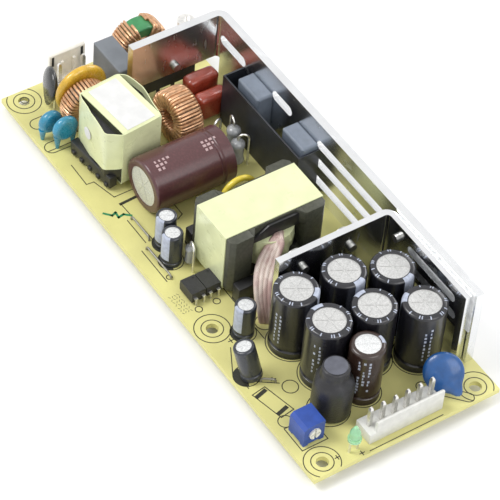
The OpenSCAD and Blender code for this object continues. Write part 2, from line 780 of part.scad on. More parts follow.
module green_choke_winding() {
    color("peru") green_choke_pose()
        for (a = [90, 270]) ring_winding(green_choke_ring, wire_d, 150, a);
}

module toroid_pose() {
    translate(toroid_mid + [0, 0, top]) rotate([90, 0, 0]) children();
}

module toroid_core() {
    color("dimgray") toroid_pose() ring_core(toroid_ring);
}

module toroid_winding() {
    color("peru") toroid_pose() ring_winding(toroid_ring, wire_d);
}

// ---- Inductor ----
// Plan of the coil, a distance inside the edge of its window.
module coil_plan(inset) {
    l = inductor_l - 2 * inductor_side - 0.4 - 2 * inset;
    w = 2 * inductor_bulge + 0.4 - 2 * inset;
    translate([-l / 2, -w / 2]) round_rect(l, w, 5.5 - inset);
}

// Plan of the tape that holds coil and core together, a distance inside its outer face.
module wrap_plan(inset) {
    l = inductor_l + 2 * tape_t - 2 * inset;
    w = 2 * inductor_bulge + 0.4 - 2 * inset;
    translate([-l / 2, -w / 2]) round_rect(l, w, inductor_round - inset);
}

// A frame around the Y axis with its lower face at the origin's height.
module yoke_frame(l, h, side, back, d) {
    translate([0, d / 2, 0]) rotate([90, 0, 0]) linear_extrude(d) difference() {
        translate([-l / 2, 0]) square([l, h]);
        translate([-l / 2 + side, back]) square([l - 2 * side, h - 2 * back]);
    }
}

module inductor_core() {
    h = inductor_top - inductor_low;
    color("dimgray") translate([inductor_mid[0], inductor_mid[1], top + inductor_low]) {
        yoke_frame(inductor_l, h, inductor_side, inductor_back, inductor_d);
        translate([-inductor_leg / 2, -inductor_d / 2, 0]) cube([inductor_leg, inductor_d, h]);
    }
}

module inductor_hole(grow) {
    l = inductor_leg + 0.2 + 2 * grow;
    w = inductor_d + 0.2 + 2 * grow;
    translate([-l / 2, -w / 2]) square([l, w]);
}

module inductor_bobbin() {
    rail_y = inductor_d / 2 + rail_gap + inductor_rail_w / 2;
    color("black") translate([inductor_mid[0], inductor_mid[1], 0]) {
        translate([0, 0, top]) {
            for (z = [inductor_window, inductor_roof - flange_t])
                translate([0, 0, z]) linear_extrude(flange_t) difference() {
                    wrap_plan(tape_t + 0.2);
                    inductor_hole(0);
                    for (s = [-1, 1]) translate([s * inductor_l / 2, 0])
                        square([2 * inductor_side + 0.4, inductor_d + 0.4], center = true);
                }
            translate([0, 0, inductor_window]) linear_extrude(inductor_roof - inductor_window) difference() {
                inductor_hole(0.7);
                inductor_hole(0);
            }
        }
        for (s = [-1, 1])
            translate([0, s * rail_y, 0]) rotate(90)
                pin_rail(inductor_l - 1.6, inductor_rail_w, inductor_window, 5, 3.6);
    }
}

module inductor_winding() {
    color("peru") translate([inductor_mid[0], inductor_mid[1], top + inductor_window + flange_t])
        linear_extrude(inductor_roof - inductor_window - 2 * flange_t) difference() {
            coil_plan(tape_t + 0.02);
            inductor_hole(0.7);
        }
}

module inductor_tape() {
    h = inductor_top - inductor_low;
    color("gold") translate([inductor_mid[0], inductor_mid[1], top]) {
        translate([0, 0, inductor_window + flange_t])
            linear_extrude(inductor_roof - inductor_window - 2 * flange_t) difference() {
                wrap_plan(0);
                wrap_plan(tape_t);
            }
        translate([0, 0, inductor_low - tape_t])
            yoke_frame(inductor_l + 2 * tape_t, h + 2 * tape_t, tape_t, tape_t,
                inductor_band_w);
    }
}

module bobbin_pins() {
    color("silver") for (at = concat(inductor_pin_at, core_pin_at)) wire(at, top, top + rail_low + 2, pin_d);
}

// ---- Transformer ----
// Plan of the core: chamfered upright edges, yokes set back between the legs.
module core_plan() {
    x = core_l / 2;
    y = core_w / 2;
    inner = y - core_side;
    end = [[x - core_notch, 0], [x - core_notch, inner - 1.8], [x, inner - 0.1], [x, y - core_chamfer],
        [x - core_chamfer, y], [0, y], [0, 0]];
    for (a = [0, 1], b = [0, 1]) mirror([a, 0]) mirror([0, b]) polygon(end);
}

module transformer_core() {
    h = core_top - core_low;
    color("dimgray") translate([core_mid[0], core_mid[1], top + core_low]) {
        intersection() {
            rotate(90) yoke_frame(core_w, h, core_side, core_back, core_l);
            linear_extrude(h) core_plan();
        }
        cylinder(d = core_leg_d, h = h);
    }
}

module transformer_bobbin() {
    flange_l = core_l + 3;
    guard_t = 0.9;                        // guard that stands up before the upper yoke
    guard_h = core_back;
    flange_w = core_w - 2 * core_side - 0.4;
    rail_x = core_l / 2 + rail_gap + core_rail_w / 2;
    color("black") translate([core_mid[0], core_mid[1], 0]) {
        difference() {
            translate([0, 0, top]) {
                for (z = [core_window, core_roof - flange_t])
                    translate([-flange_l / 2, -flange_w / 2, z]) cube([flange_l, flange_w, flange_t]);
                translate([0, 0, core_window]) cylinder(d = tube_d, h = core_roof - core_window);
            }
            translate([0, 0, top]) cylinder(d = core_leg_d + 0.2, h = core_top);
        }
        for (s = [-1, 1]) {
            translate([s * rail_x, 0, 0]) pin_rail(core_w - 2, core_rail_w, core_window - 0.5, 7, 3.8);
            translate([s * (core_l / 2 + rail_gap + 0.6) - 0.6, -flange_w / 2, top + core_window - 0.5])
                cube([1.2, flange_w, 0.5]);
            translate([s * (flange_l / 2 - guard_t / 2) - guard_t / 2, 0, top + core_roof - flange_t])
                rotate([90, 0, 90]) linear_extrude(guard_t)
                    polygon([[-flange_w / 2, 0], [flange_w / 2, 0], [flange_w / 2, guard_h],
                        [-0.2 * flange_w, guard_h], [-flange_w / 2, flange_t]]);
        }
    }
}

module transformer_winding() {
    color("peru") translate([core_mid[0], core_mid[1], top + core_window + flange_t]) difference() {
        linear_extrude(core_roof - core_window - 2 * flange_t) {
            for (s = [-1, 1]) translate([s * coil_bulge, 0]) circle(d = winding_d);
            square([2 * coil_bulge, winding_d], center = true);
        }
        translate([0, 0, -eps]) cylinder(d = tube_d, h = core_roof);
    }
}

module transformer_tape() {
    h = core_top - core_low;
    color("gold") translate([core_mid[0], core_mid[1], top + core_low - tape_t]) rotate(90)
        yoke_frame(core_w + 2 * tape_t, h + 2 * tape_t, tape_t, tape_t, core_band_w);
}

// Distance from the core's axis to the coil's surface, in a direction.
function coil_reach(a) = coil_bulge * cos(a) + sqrt(pow(winding_d / 2, 2) - pow(coil_bulge * sin(a), 2));

module transformer_litz() {
    litz_z = top + core_roof - 2;         // where the upper leads leave the coil
    bend = 4.2;
    color("rosybrown") translate([core_mid[0], core_mid[1], 0]) for (k = [0 : 2], a = [0, -8]) {
        start = coil_reach(litz_turn + a) + 0.02;
        rotate(litz_turn + a) translate([start, 0, 0])
            wire_drop(litz_reach - start - litz_step * k, litz_z - litz_step * k, bend, litz_d);
    }
}

module sleeved_wire() {
    color("gold") translate([sleeved_at[0], sleeved_at[1], 0]) rotate(90)
        wire_arch(10, top, top + 13, top, 1.8);
}

// ---- Capacitors ----
module bulk_pose() {
    translate([bulk_at[0], bulk_at[1] + bulk_l, top + bulk_d / 2]) rotate([90, 0, 0]) children();
}

module bulk_capacitor_can() {
    color("lightgray") {
        bulk_pose() difference() {
            can(bulk_d, bulk_l, can_edge, groove_z + 1, groove_in);
            vent_cut(vent_reach * bulk_d, bulk_l - sleeve_t);
        }
        for (s = [-1, 1])
            translate([bulk_at[0] + s * 3.75, bulk_at[1] + bulk_l, 0]) rotate(90)
                wire_drop(2, top + bulk_d / 2, 1.2, 0.8);
    }
}

module bulk_capacitor_sleeve() {
    color("maroon") bulk_pose()
        sleeve(bulk_d, bulk_l, can_edge, groove_z + 1, groove_in, opening * bulk_d);
}

module output_capacitor_cans() {
    color("lightgray") for (at = out_cap_at)
        translate([at[0], at[1], top]) difference() {
            can(out_cap_d, out_cap_h, can_edge, groove_z, groove_in);
            vent_cut(vent_reach * out_cap_d, out_cap_h - sleeve_t);
        }
}

module output_capacitor_sleeves() {
    color("darkslateblue") for (at = out_cap_at)
        translate([at[0], at[1], top])
            sleeve(out_cap_d, out_cap_h, can_edge, groove_z, groove_in, opening * out_cap_d);
}

module filter_capacitor_can() {
    color("lightgray") translate([filter_cap_at[0], filter_cap_at[1], top]) difference() {
        can(filter_cap_d, filter_cap_h, can_edge, groove_z, groove_in);
        vent_cut(vent_reach * filter_cap_d, filter_cap_h - sleeve_t);
    }
}

module filter_capacitor_sleeve() {
    color("saddlebrown") translate([filter_cap_at[0], filter_cap_at[1], top])
        sleeve(filter_cap_d, filter_cap_h, can_edge, groove_z, groove_in, opening * filter_cap_d);
}

// The small capacitors: three upright ones and one that leans on its leads.
module small_cap_poses() {
    for (at = small_cap_at) translate([at[0], at[1], top]) children();
    translate([lean_cap_at[0], lean_cap_at[1], top + 1])
        rotate([-lean_cap_tilt[1], lean_cap_tilt[0], 0]) children();
}

module small_capacitor_cans() {
    color("lightgray") {
        small_cap_poses() difference() {
            can(small_cap_d, small_cap_h, small_edge, 1.8, 0.3);
            vent_cut(vent_reach * small_cap_d, small_cap_h - sleeve_t);
        }
        for (s = [-1, 1]) wire(lean_cap_at + [s * small_pin, 0], top, top + 1, lead_d);
    }
}

module small_capacitor_sleeves() {
    color("darkslateblue") small_cap_poses()
        sleeve(small_cap_d, small_cap_h, small_edge, 1.8, 0.3, opening * small_cap_d);
}

// ---- Output parts ----
// A wound rod in heat shrink: narrow foot, barrel, and the end of the rod on top.
module rod_choke() {
    lean = 8;
    foot_r = 4.3;
    rod_r = 3.1;
    barrel = [[0, 0], [foot_r, 0], [foot_r, 3], [choke_r, 4.4], [choke_r, 11.6], [choke_r - 0.9, 13.4],
        [rod_r, 14], [rod_r, 16.1], [rod_r - 0.4, 16.4], [0, 16.4]];
    color("black") translate([choke_at[0], choke_at[1], top + foot_r * sin(lean)])
        rotate([0, 0, -124]) rotate([0, lean, 0]) rotate_extrude() polygon(barrel);
}

module trimmer_body() {
    bevel = 1;                            // on the upper edge of its near side
    foot = 1.5;
    color("royalblue") translate([trimmer_at[0], trimmer_at[1], top]) difference() {
        rotate([90, 0, 90]) linear_extrude(trimmer_l)
            polygon([[0, 0], [trimmer_w, 0], [trimmer_w, trimmer_h], [bevel, trimmer_h],
                [0, trimmer_h - bevel]]);
        translate([trimmer_l - trimmer_bore_h, trimmer_screw_y, trimmer_screw_z]) rotate([0, 90, 0])
            cylinder(r = screw_d / 2 + screw_gap, h = trimmer_bore_h + eps);
        translate([foot, -eps, -eps]) cube([trimmer_l - 2 * foot, trimmer_w + 2 * eps, trimmer_foot + eps]);
        translate([-eps, foot, -eps]) cube([trimmer_l + 2 * eps, trimmer_w - 2 * foot, trimmer_foot + eps]);
    }
}

module trimmer_screw() {
    rear = 0.3;
    length = trimmer_bore_h - rear + trim_out;
    slot_w = 0.6;
    slot_d = 0.7;
    color("whitesmoke") translate([trimmer_at[0] + trimmer_l + trim_out - length,
        trimmer_at[1] + trimmer_screw_y, top + trimmer_screw_z]) rotate([0, 90, 0]) difference() {
            cylinder(d = screw_d, h = length);
            translate([-screw_d / 2 - eps, -slot_w / 2, length - slot_d])
                cube([screw_d + 2 * eps, slot_w, 1]);
            translate([-slot_w / 2, slot_w / 2 - screw_d / 2, length - slot_d])
                cube([slot_w, screw_d - slot_w, 1]);
        }
}

module indicator_led() {
    led_h = 5.3;
    lens_r = 1.5;
    flange = [1.9, 0.9];                  // radius and height
    color("limegreen") translate([led_at[0], led_at[1], top + led_low]) rotate_extrude() intersection() {
        union() {
            square(flange);
            square([lens_r, 2.8]);
            translate([0, 2.8]) circle(lens_r);
            translate([0, 3.6]) polygon([[0, 0], [1.25, 0], [0.55, led_h - 3.8], [0, led_h - 3.6]]);
        }
        square([flange[0], led_h]);
    }
}

module led_leads() {
    color("silver") for (s = [-1, 1])
        translate([led_at[0] - 0.25, led_at[1] + s * 1.27 - 0.25, top]) cube([0.5, 0.5, led_low]);
}

module optocouplers() {
    l = opto_size[0];
    h = opto_size[2];
    color("black") for (at = opto_at)
        translate([at[0], at[1] + opto_size[1], top + opto_low]) difference() {
            rotate([90, 0, 0]) linear_extrude(opto_size[1])
                polygon([[0.2, 0], [l - 0.2, 0], [l, h / 2], [l - 0.2, h], [0.2, h], [0, h / 2]]);
            translate([1.3, -1.1, h - 0.15]) cylinder(d = 0.9, h = 1, $fn = 16);
        }
}

module optocoupler_pins() {
    l = opto_size[0];
    mid_z = top + opto_low + opto_size[2] / 2;
    color("silver") for (at = opto_at, s = [-1, 1], side = [0, 1])
        translate([at[0] + side * l, at[1] + opto_size[1] / 2 + s * 1.27 - 0.5, 0]) mirror([1 - side, 0, 0]) {
            translate([0, 0, mid_z - 0.125]) cube([0.75, 1, 0.25]);
            translate([0.5, 0.25, top]) cube([0.25, 0.5, mid_z - top]);
        }
}

module axial_parts() {
    // A bead with a waist: two shoulders and a slimmer middle.
    color("gray") for (p = axial_at) translate([p[0], p[1], top + axial_low]) rotate_extrude()
        let(r = p[2] / 2, h = p[3])
            polygon([[0, 0], [0.6 * r, 0], [r, 0.12 * h], [r, 0.28 * h], [0.88 * r, 0.36 * h],
                [0.88 * r, 0.64 * h], [r, 0.72 * h], [r, 0.88 * h], [0.6 * r, h], [0, h]]);
}

module axial_leads() {
    color("silver") for (p = axial_at) translate([p[0], p[1], 0]) {
        over = top + axial_low + p[3];
        wire([0, 0], top, top + axial_low, axial_lead_d);
        rotate(p[4]) wire_arch(axial_reach, over, over + axial_reach / 2 + 0.6, top, axial_lead_d);
    }
}

module jumper_wires() {
    color("silver") for (j = jumper_at)
        translate([j[0][0], j[0][1], 0]) rotate(j[2]) translate([j[1] / 2, 0, 0])
            for (a = [0, 180]) rotate(a) wire_drop(j[1] / 2, top + 1.4, 0.9, lead_d);
}

pcb();
heavy_pin_tips();
solder_joints();
primary_heatsink();
secondary_heatsink();
insulating_film();
heatsink_screws();
insulating_shield();
power_transistors();
silicone_caps();
output_rectifiers();
bridge_rectifier();
input_header_housing();
input_header_pins();
output_header_housing();
output_header_pins();
fuse_tube();
fuse_leads();
thermistor_disc();
varistor_disc();
y_capacitors();
disc_leads();
x_capacitor();
film_capacitors();
blue_disc_capacitor();
line_choke_core();
line_choke_winding();
green_choke_core();
green_choke_winding();
toroid_core();
toroid_winding();
inductor_core();
inductor_bobbin();
inductor_winding();
inductor_tape();
bobbin_pins();
transformer_core();
transformer_bobbin();
transformer_winding();
transformer_tape();
transformer_litz();
sleeved_wire();
bulk_capacitor_can();
bulk_capacitor_sleeve();
output_capacitor_cans();
output_capacitor_sleeves();
filter_capacitor_can();
filter_capacitor_sleeve();
small_capacitor_cans();
small_capacitor_sleeves();
rod_choke();
trimmer_body();
trimmer_screw();
indicator_led();
led_leads();
optocouplers();
optocoupler_pins();
axial_parts();
axial_leads();
jumper_wires();
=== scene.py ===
import math
import random

import bmesh
import bpy
from bpy.props import FloatProperty, FloatVectorProperty, IntProperty, PointerProperty
from mathutils import Matrix, Vector, noise


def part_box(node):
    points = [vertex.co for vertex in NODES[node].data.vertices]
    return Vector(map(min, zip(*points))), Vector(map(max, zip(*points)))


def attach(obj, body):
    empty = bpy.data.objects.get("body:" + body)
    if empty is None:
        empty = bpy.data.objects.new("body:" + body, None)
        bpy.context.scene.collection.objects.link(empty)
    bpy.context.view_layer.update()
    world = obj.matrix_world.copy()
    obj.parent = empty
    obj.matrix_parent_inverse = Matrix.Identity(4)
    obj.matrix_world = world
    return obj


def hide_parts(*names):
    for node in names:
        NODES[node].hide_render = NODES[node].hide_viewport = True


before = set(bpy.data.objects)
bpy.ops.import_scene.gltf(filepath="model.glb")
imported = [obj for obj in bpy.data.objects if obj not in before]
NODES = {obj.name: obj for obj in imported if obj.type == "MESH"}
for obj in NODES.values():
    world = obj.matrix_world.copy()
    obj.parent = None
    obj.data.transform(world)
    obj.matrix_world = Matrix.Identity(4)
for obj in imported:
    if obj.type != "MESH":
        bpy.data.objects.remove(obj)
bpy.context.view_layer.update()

bl_info = {
    "name": "Open frame supply",
    "version": (1, 0, 0),
    "blender": (4, 5, 0),
    "location": "View3D > Sidebar > Supply",
    "description": "Builds an open frame power supply around its packed model",
    "category": "Object",
}

MM = 0.001
BODY = "board_assembly"


# ---------------------------------------------------------------- places

def low(node):
    """Lowest corner of a node, in millimetres."""
    return Vector(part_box(node)[0]) / MM


def high(node):
    """Highest corner of a node, in millimetres."""
    return Vector(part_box(node)[1]) / MM


def middle(node):
    return (low(node) + high(node)) / 2


def extent(node):
    return high(node) - low(node)


BOARD_HIGH = high("pcb")
TOP = BOARD_HIGH.z
HOLE_IN_X = 4.0                 # hole centres from the short edges
HOLE_IN_Y = 5.2                 # and from the long ones
MID_HOLE_X = 23.5
INK = 0.03                      # height of a printed line


def loose_parts(node):
    """Boxes of the separate solids of a CAD node, sorted along X: pairs of corners in mm."""
    work = bmesh.new()
    work.from_mesh(NODES[node].data)
    bmesh.ops.remove_doubles(work, verts=work.verts, dist=1e-6)
    seen = set()
    found = []
    for start in work.verts:
        if start in seen:
            continue
        group = [start]
        seen.add(start)
        for vert in group:
            for edge in vert.link_edges:
                other = edge.other_vert(vert)
                if other not in seen:
                    seen.add(other)
                    group.append(other)
        found.append([Vector([pick(v.co[i] for v in group) for i in range(3)]) / MM for pick in (min, max)])
    work.free()
    return sorted(found, key=lambda pair: (round(pair[0].x, 2), round(pair[0].y, 2)))


def stand(corners):
    """Place of the middle of a box's lower face."""
    return Matrix.Translation((*((corners[0] + corners[1]) / 2).xy, corners[0].z))


# ---------------------------------------------------------------- shader maths

class Value:
    """A socket that can stand in an expression."""

    def __init__(self, shade, socket):
        self.shade = shade
        self.socket = socket

    def math(self, operation, *terms):
        return self.shade.node("ShaderNodeMath", {"operation": operation}, dict(enumerate(terms)))

    def __add__(self, other):
        return self.math("ADD", self, other)

    def __radd__(self, other):
        return self.math("ADD", other, self)

    def __sub__(self, other):
        return self.math("SUBTRACT", self, other)

    def __rsub__(self, other):
        return self.math("SUBTRACT", other, self)

    def __mul__(self, other):
        return self.math("MULTIPLY", self, other)

    def __rmul__(self, other):
        return self.math("MULTIPLY", other, self)

    def ramp(self, start, end):
        """0 below start, 1 above end, smooth between them."""
        settings = {"interpolation_type": "SMOOTHSTEP"}
        return self.shade.node("ShaderNodeMapRange", settings, {0: self, 1: start, 2: end})

    def waves(self, pitch):
        """A sine wave with this pitch in millimetres."""
        return self.math("SINE", self * (2 * math.pi / (pitch * MM)))

    def axis(self, name):
        """One coordinate of a vector."""
        return self.shade.node("ShaderNodeSeparateXYZ", {}, {0: self}, output=name)


class Shade:
    """A material under construction. Sizes in its patterns are in millimetres."""

    def __init__(self, name, base, rough=0.5, metal=0.0, **fixed):
        self.material = bpy.data.materials.new(name)
        self.material.use_nodes = True
        self.tree = self.material.node_tree
        self.bsdf = self.tree.nodes["Principled BSDF"]
        self.base = base
        self.material.diffuse_color = (*base, 1)
        self.put("Base Color", (*base, 1))
        self.put("Roughness", rough)
        self.put("Metallic", metal)
        for key, value in fixed.items():
            self.put(key.replace("_", " "), value)
        coordinates = self.tree.nodes.new("ShaderNodeTexCoord")
        self.place = Value(self, coordinates.outputs["Object"])

    def feed(self, socket, value):
        if isinstance(value, Value):
            self.tree.links.new(value.socket, socket)
        else:
            socket.default_value = value

    def node(self, kind, settings, values, output=0):
        made = self.tree.nodes.new(kind)
        for key, value in settings.items():
            setattr(made, key, value)
        for key, value in values.items():
            self.feed(made.inputs[key], value)
        return Value(self, made.outputs[output])

    def put(self, name, value):
        self.feed(self.bsdf.inputs[name], value)

    def surface(self, colour, rough):
        self.put("Base Color", colour)
        self.put("Roughness", rough)

    def noise(self, size, detail=2.0, stretch=(1, 1, 1), rough=0.5):
        """Noise whose blobs are about this many millimetres across."""
        scale = [1 / (size * MM * part) for part in stretch]
        spread = self.node("ShaderNodeMapping", {}, {"Vector": self.place, "Scale": scale})
        values = {"Vector": spread, "Scale": 1.0, "Detail": detail, "Roughness": rough}
        return self.node("ShaderNodeTexNoise", {}, values)

    def mix(self, amount, first, second):
        """A colour between two others."""
        ends = [end if isinstance(end, Value) else (*end, 1) for end in (first, second)]
        values = {0: amount, 6: ends[0], 7: ends[1]}
        return self.node("ShaderNodeMix", {"data_type": "RGBA"}, values, output=2)

    def tints(self, amount, dark, light):
        """The base colour between a darker and a lighter tint of it."""
        return self.mix(amount, tint(self.base, dark), tint(self.base, light))

    def bump(self, height, depth):
        """Relief of a height map, this many millimetres deep."""
        values = {"Height": height, "Distance": depth * MM, "Strength": 1.0}
        self.put("Normal", self.node("ShaderNodeBump", {}, values))
        return self


def tint(colour, factor):
    return tuple(min(1.0, part * factor) for part in colour)


# ---------------------------------------------------------------- finishes

def finish(make):
    """Has a function that returns a shade give a material, made once under each name."""
    made = {}

    def find(name, *look, **fixed):
        if name not in made:
            made[name] = make(name, *look, **fixed).material
        return made[name]

    return find


@finish
def mottled(name, base, rough, change=0.12, size=2.0, bump=0.01, metal=0.0, **fixed):
    """A plain surface with a little variation of colour, gloss and relief."""
    shade = Shade(name, base, rough, metal, **fixed)
    cloud = shade.noise(size, 3.0)
    fine = shade.noise(size / 6)
    shade.surface(shade.tints(cloud.ramp(0.3, 0.7), 1 - change, 1 + change), rough + (fine - 0.5) * 0.18)
    return shade.bump(fine, bump)


@finish
def laminate(name, base):
    """Bare glass-filled laminate: faint weave, cloudy colour."""
    shade = Shade(name, base, 0.42)
    cloud = shade.noise(14, 3.0)
    along = shade.place.axis("X").waves(0.55)
    across = shade.place.axis("Y").waves(0.55)
    specks = shade.noise(0.5).ramp(0.62, 0.72)
    body = shade.tints(cloud.ramp(0.3, 0.7), 0.93, 1.06)
    shade.surface(shade.mix(specks * 0.16, body, tint(base, 0.6)), 0.4 + cloud * 0.1)
    return shade.bump(along * across, 0.006)


@finish
def sheet_metal(name, base, rough):
    """Rolled sheet: streaks along X, a few scuffs."""
    shade = Shade(name, base, rough, 1.0)
    streak = shade.noise(0.25, 2.0, (30, 1, 1))
    cloud = shade.noise(9, 3.0)
    scuff = shade.noise(1.6, 4.0, (4, 1, 3)).ramp(0.6, 0.75)
    shade.surface(shade.tints(cloud, 0.86, 1.06), rough + (streak - 0.5) * 0.12 + scuff * 0.16)
    return shade.bump(streak, 0.003)


@finish
def can_metal(name, base, metal=0.75):
    """Drawn can: satin with fine specks."""
    shade = Shade(name, base, 0.42, metal)
    fine = shade.noise(0.35, 3.0)
    cloud = shade.noise(3)
    shade.surface(shade.tints(fine.ramp(0.35, 0.7), 0.84, 1.08), 0.36 + cloud * 0.18)
    return shade.bump(fine, 0.012)


@finish
def shrink_sleeve(name, base, rough=0.3):
    """Shrunk film: glossy, with faint waves."""
    shade = Shade(name, base, rough, 0.0, Coat_Weight=0.35, Coat_Roughness=0.18)
    wave = shade.noise(2.6, 2.0, (1, 1, 2.5))
    dust = shade.noise(0.6, 3.0)
    shade.surface(shade.tints(dust.ramp(0.4, 0.8), 0.9, 1.25), rough + (dust - 0.5) * 0.14)
    return shade.bump(wave, 0.05)


@finish
def tape_film(name, base):
    """Polyester tape: glossy, wrinkled and uneven."""
    shade = Shade(name, base, 0.26, 0.0, Coat_Weight=0.4, Coat_Roughness=0.12)
    wrinkle = shade.noise(3.2, 4.0, (1, 1, 1), 0.62)
    cloud = shade.noise(7)
    layer = shade.place.axis("Z").waves(1.9)
    shade.surface(shade.tints(cloud.ramp(0.3, 0.75), 0.93, 1.05), 0.22 + wrinkle * 0.14)
    return shade.bump(wrinkle + layer * 0.03, 0.16)


@finish
def enamel_wire(name, base):
    """Varnished copper with darker patches."""
    shade = Shade(name, base, 0.3, 0.55, Coat_Weight=0.5, Coat_Roughness=0.15)
    cloud = shade.noise(1.4, 3.0)
    shade.surface(shade.tints(cloud.ramp(0.3, 0.75), 0.72, 1.2), 0.22 + cloud * 0.16)
    return shade.bump(shade.noise(0.3), 0.01)


@finish
def braid(name, base):
    """Flat tinned braid in a clear jacket, with slanted strands."""
    shade = Shade(name, base, 0.42, 0.1, Coat_Weight=0.3, Coat_Roughness=0.2)
    slant = shade.place.axis("Z") + shade.place.axis("Y") * 0.8 + shade.place.axis("X") * 0.4
    strand = slant.waves(0.42)
    cloud = shade.noise(3, 2.0, (1, 1, 3))
    colour = shade.mix(cloud.ramp(0.35, 0.65), tint(base, 0.85), (0.80, 0.68, 0.60))
    shade.put("Base Color", shade.mix(strand.ramp(0.2, 1) * 0.35, colour, tint(base, 0.5)))
    return shade.bump(strand, 0.03)


@finish
def dipped(name, base, rough=0.28):
    """Dipped resin: glossy, slightly lumpy."""
    shade = Shade(name, base, rough, 0.0, Coat_Weight=0.45, Coat_Roughness=0.1)
    lump = shade.noise(2.4)
    fine = shade.noise(0.5)
    shade.surface(shade.tints(lump.ramp(0.3, 0.7), 0.88, 1.14), rough + (fine - 0.5) * 0.16)
    return shade.bump(lump + fine * 0.12, 0.12)


@finish
def clear_resin(name, base, through):
    """Tinted clear resin or glass."""
    shade = Shade(name, base, 0.12, 0.0, Transmission_Weight=through, IOR=1.5)
    cloud = shade.noise(1.2)
    shade.put("Base Color", shade.tints(cloud, 0.9, 1.1))
    return shade.bump(cloud, 0.005)


def tinned(scene):
    return mottled("tinned metal", tuple(scene.supply_metal.tin), 0.3, 0.1, 0.8, 0.006, metal=0.9)


def ferrite(scene):
    return mottled("ferrite", tuple(scene.supply_wound.ferrite), 0.5, 0.2, 1.0)


def copper(scene):
    return enamel_wire("enamel wire", tuple(scene.supply_wound.wire))


def taped(scene):
    return tape_film("tape film", tuple(scene.supply_wound.tape))


def bobbin_plastic():
    return mottled("bobbin plastic", (0.018, 0.018, 0.018), 0.38, 0.2, 1.5, 0.01)


# ---------------------------------------------------------------- making pieces

def smooth(mesh, angle):
    """Round faces are shaded smooth, and edges sharper than the angle stay sharp."""
    for face in mesh.polygons:
        face.use_smooth = True
    work = bmesh.new()
    work.from_mesh(mesh)
    limit = math.radians(angle)
    for edge in work.edges:
        edge.smooth = len(edge.link_faces) == 2 and edge.calc_face_angle(0) < limit
    work.to_mesh(mesh)
    work.free()


def piece(name, work, material, replaces=(), angle=40):
    """Turns a bmesh in millimetres into a finished piece of the scene."""
    bmesh.ops.recalc_face_normals(work, faces=work.faces)
    bmesh.ops.scale(work, verts=work.verts, vec=(MM, MM, MM))
    mesh = bpy.data.meshes.new(name)
    work.to_mesh(mesh)
    work.free()
    mesh.materials.append(material)
    smooth(mesh, angle)
    made = bpy.data.objects.new(name, mesh)
    bpy.context.scene.collection.objects.link(made)
    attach(made, BODY)
    if replaces:
        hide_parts(*replaces)


def wear(material, *nodes):
    """Gives CAD nodes their finish."""
    for node in nodes:
        held = NODES[node]
        if held.data.materials:
            for slot in held.material_slots:
                slot.material = material
        else:
            held.data.materials.append(material)


def turned(degrees, axis="Z"):
    return Matrix.Rotation(math.radians(degrees), 4, axis)


def move(work, place):
    bmesh.ops.transform(work, matrix=place, verts=work.verts)


def in_mm(mesh):
    """A bmesh in millimetres of a mesh in metres."""
    work = bmesh.new()
    work.from_mesh(mesh)
    bmesh.ops.scale(work, verts=work.verts, vec=(1 / MM, 1 / MM, 1 / MM))
    return work


def round_off(work, edges, width, segments, **more):
    """Bevels edges to a round."""
    bmesh.ops.bevel(work, geom=edges, offset=width, affect="EDGES", segments=segments, profile=0.5,
                    material=-1, **more)


def stroke(work, points, width, z=TOP):
    """A flat printed line through points, each stretch a thin slab."""
    for start, end in zip(points, points[1:]):
        a = Vector((*start, 0))
        b = Vector((*end, 0))
        along = b - a
        centre = (a + b) / 2
        turn = Matrix.Rotation(math.atan2(along.y, along.x), 4, "Z")
        place = Matrix.Translation((centre.x, centre.y, z + INK / 2)) @ turn
        size = Matrix.Diagonal((along.length + width, width, INK, 1))
        bmesh.ops.create_cube(work, size=1, matrix=place @ size)


def merge(work, other):
    """Adds another bmesh to a bmesh and frees it."""
    passed = bpy.data.meshes.new("passed")
    other.to_mesh(passed)
    other.free()
    work.from_mesh(passed)
    bpy.data.meshes.remove(passed)


def lathe(profile, place, steps, sweep=360, start=0, closed=False):
    """Spins a profile of (radius, height) about Z, into a new bmesh."""
    work = bmesh.new()
    verts = [work.verts.new((radius, 0, height)) for radius, height in profile]
    edges = [work.edges.new(pair) for pair in zip(verts, verts[1:])]
    geom = [*verts, *edges]
    if closed:
        geom.append(work.edges.new((verts[-1], verts[0])))
        if sweep < 360:
            geom.append(work.faces.new(verts))
    bmesh.ops.spin(work, geom=geom, cent=(0, 0, 0), axis=(0, 0, 1), angle=math.radians(sweep),
                   steps=steps, use_merge=sweep >= 360)
    bmesh.ops.remove_doubles(work, verts=work.verts, dist=1e-4)
    move(work, place @ turned(start))
    return work


def ring(work, centre, radius, width, sweep=360, start=0, steps=64):
    """A flat printed ring, or a part of one."""
    inner = radius - width / 2
    outer = radius + width / 2
    profile = [(inner, 0), (outer, 0), (outer, INK), (inner, INK)]
    place = Matrix.Translation((centre[0], centre[1], TOP))
    merge(work, lathe(profile, place, steps, sweep, start, closed=True))


def block(centre, size, bevel, segments, upright=False, cuts=0):
    """A box with rounded edges, or with only its upright edges rounded."""
    work = bmesh.new()
    place = Matrix.Translation(centre) @ Matrix.Diagonal((*size, 1))
    bmesh.ops.create_cube(work, size=1, matrix=place)
    edges = list(work.edges)
    if upright:
        edges = [e for e in edges if abs(e.verts[0].co.z - e.verts[1].co.z) > size[2] / 2]
    round_off(work, edges, bevel, segments)
    if cuts:
        bmesh.ops.subdivide_edges(work, edges=work.edges, cuts=cuts, use_grid_fill=True)
    return work


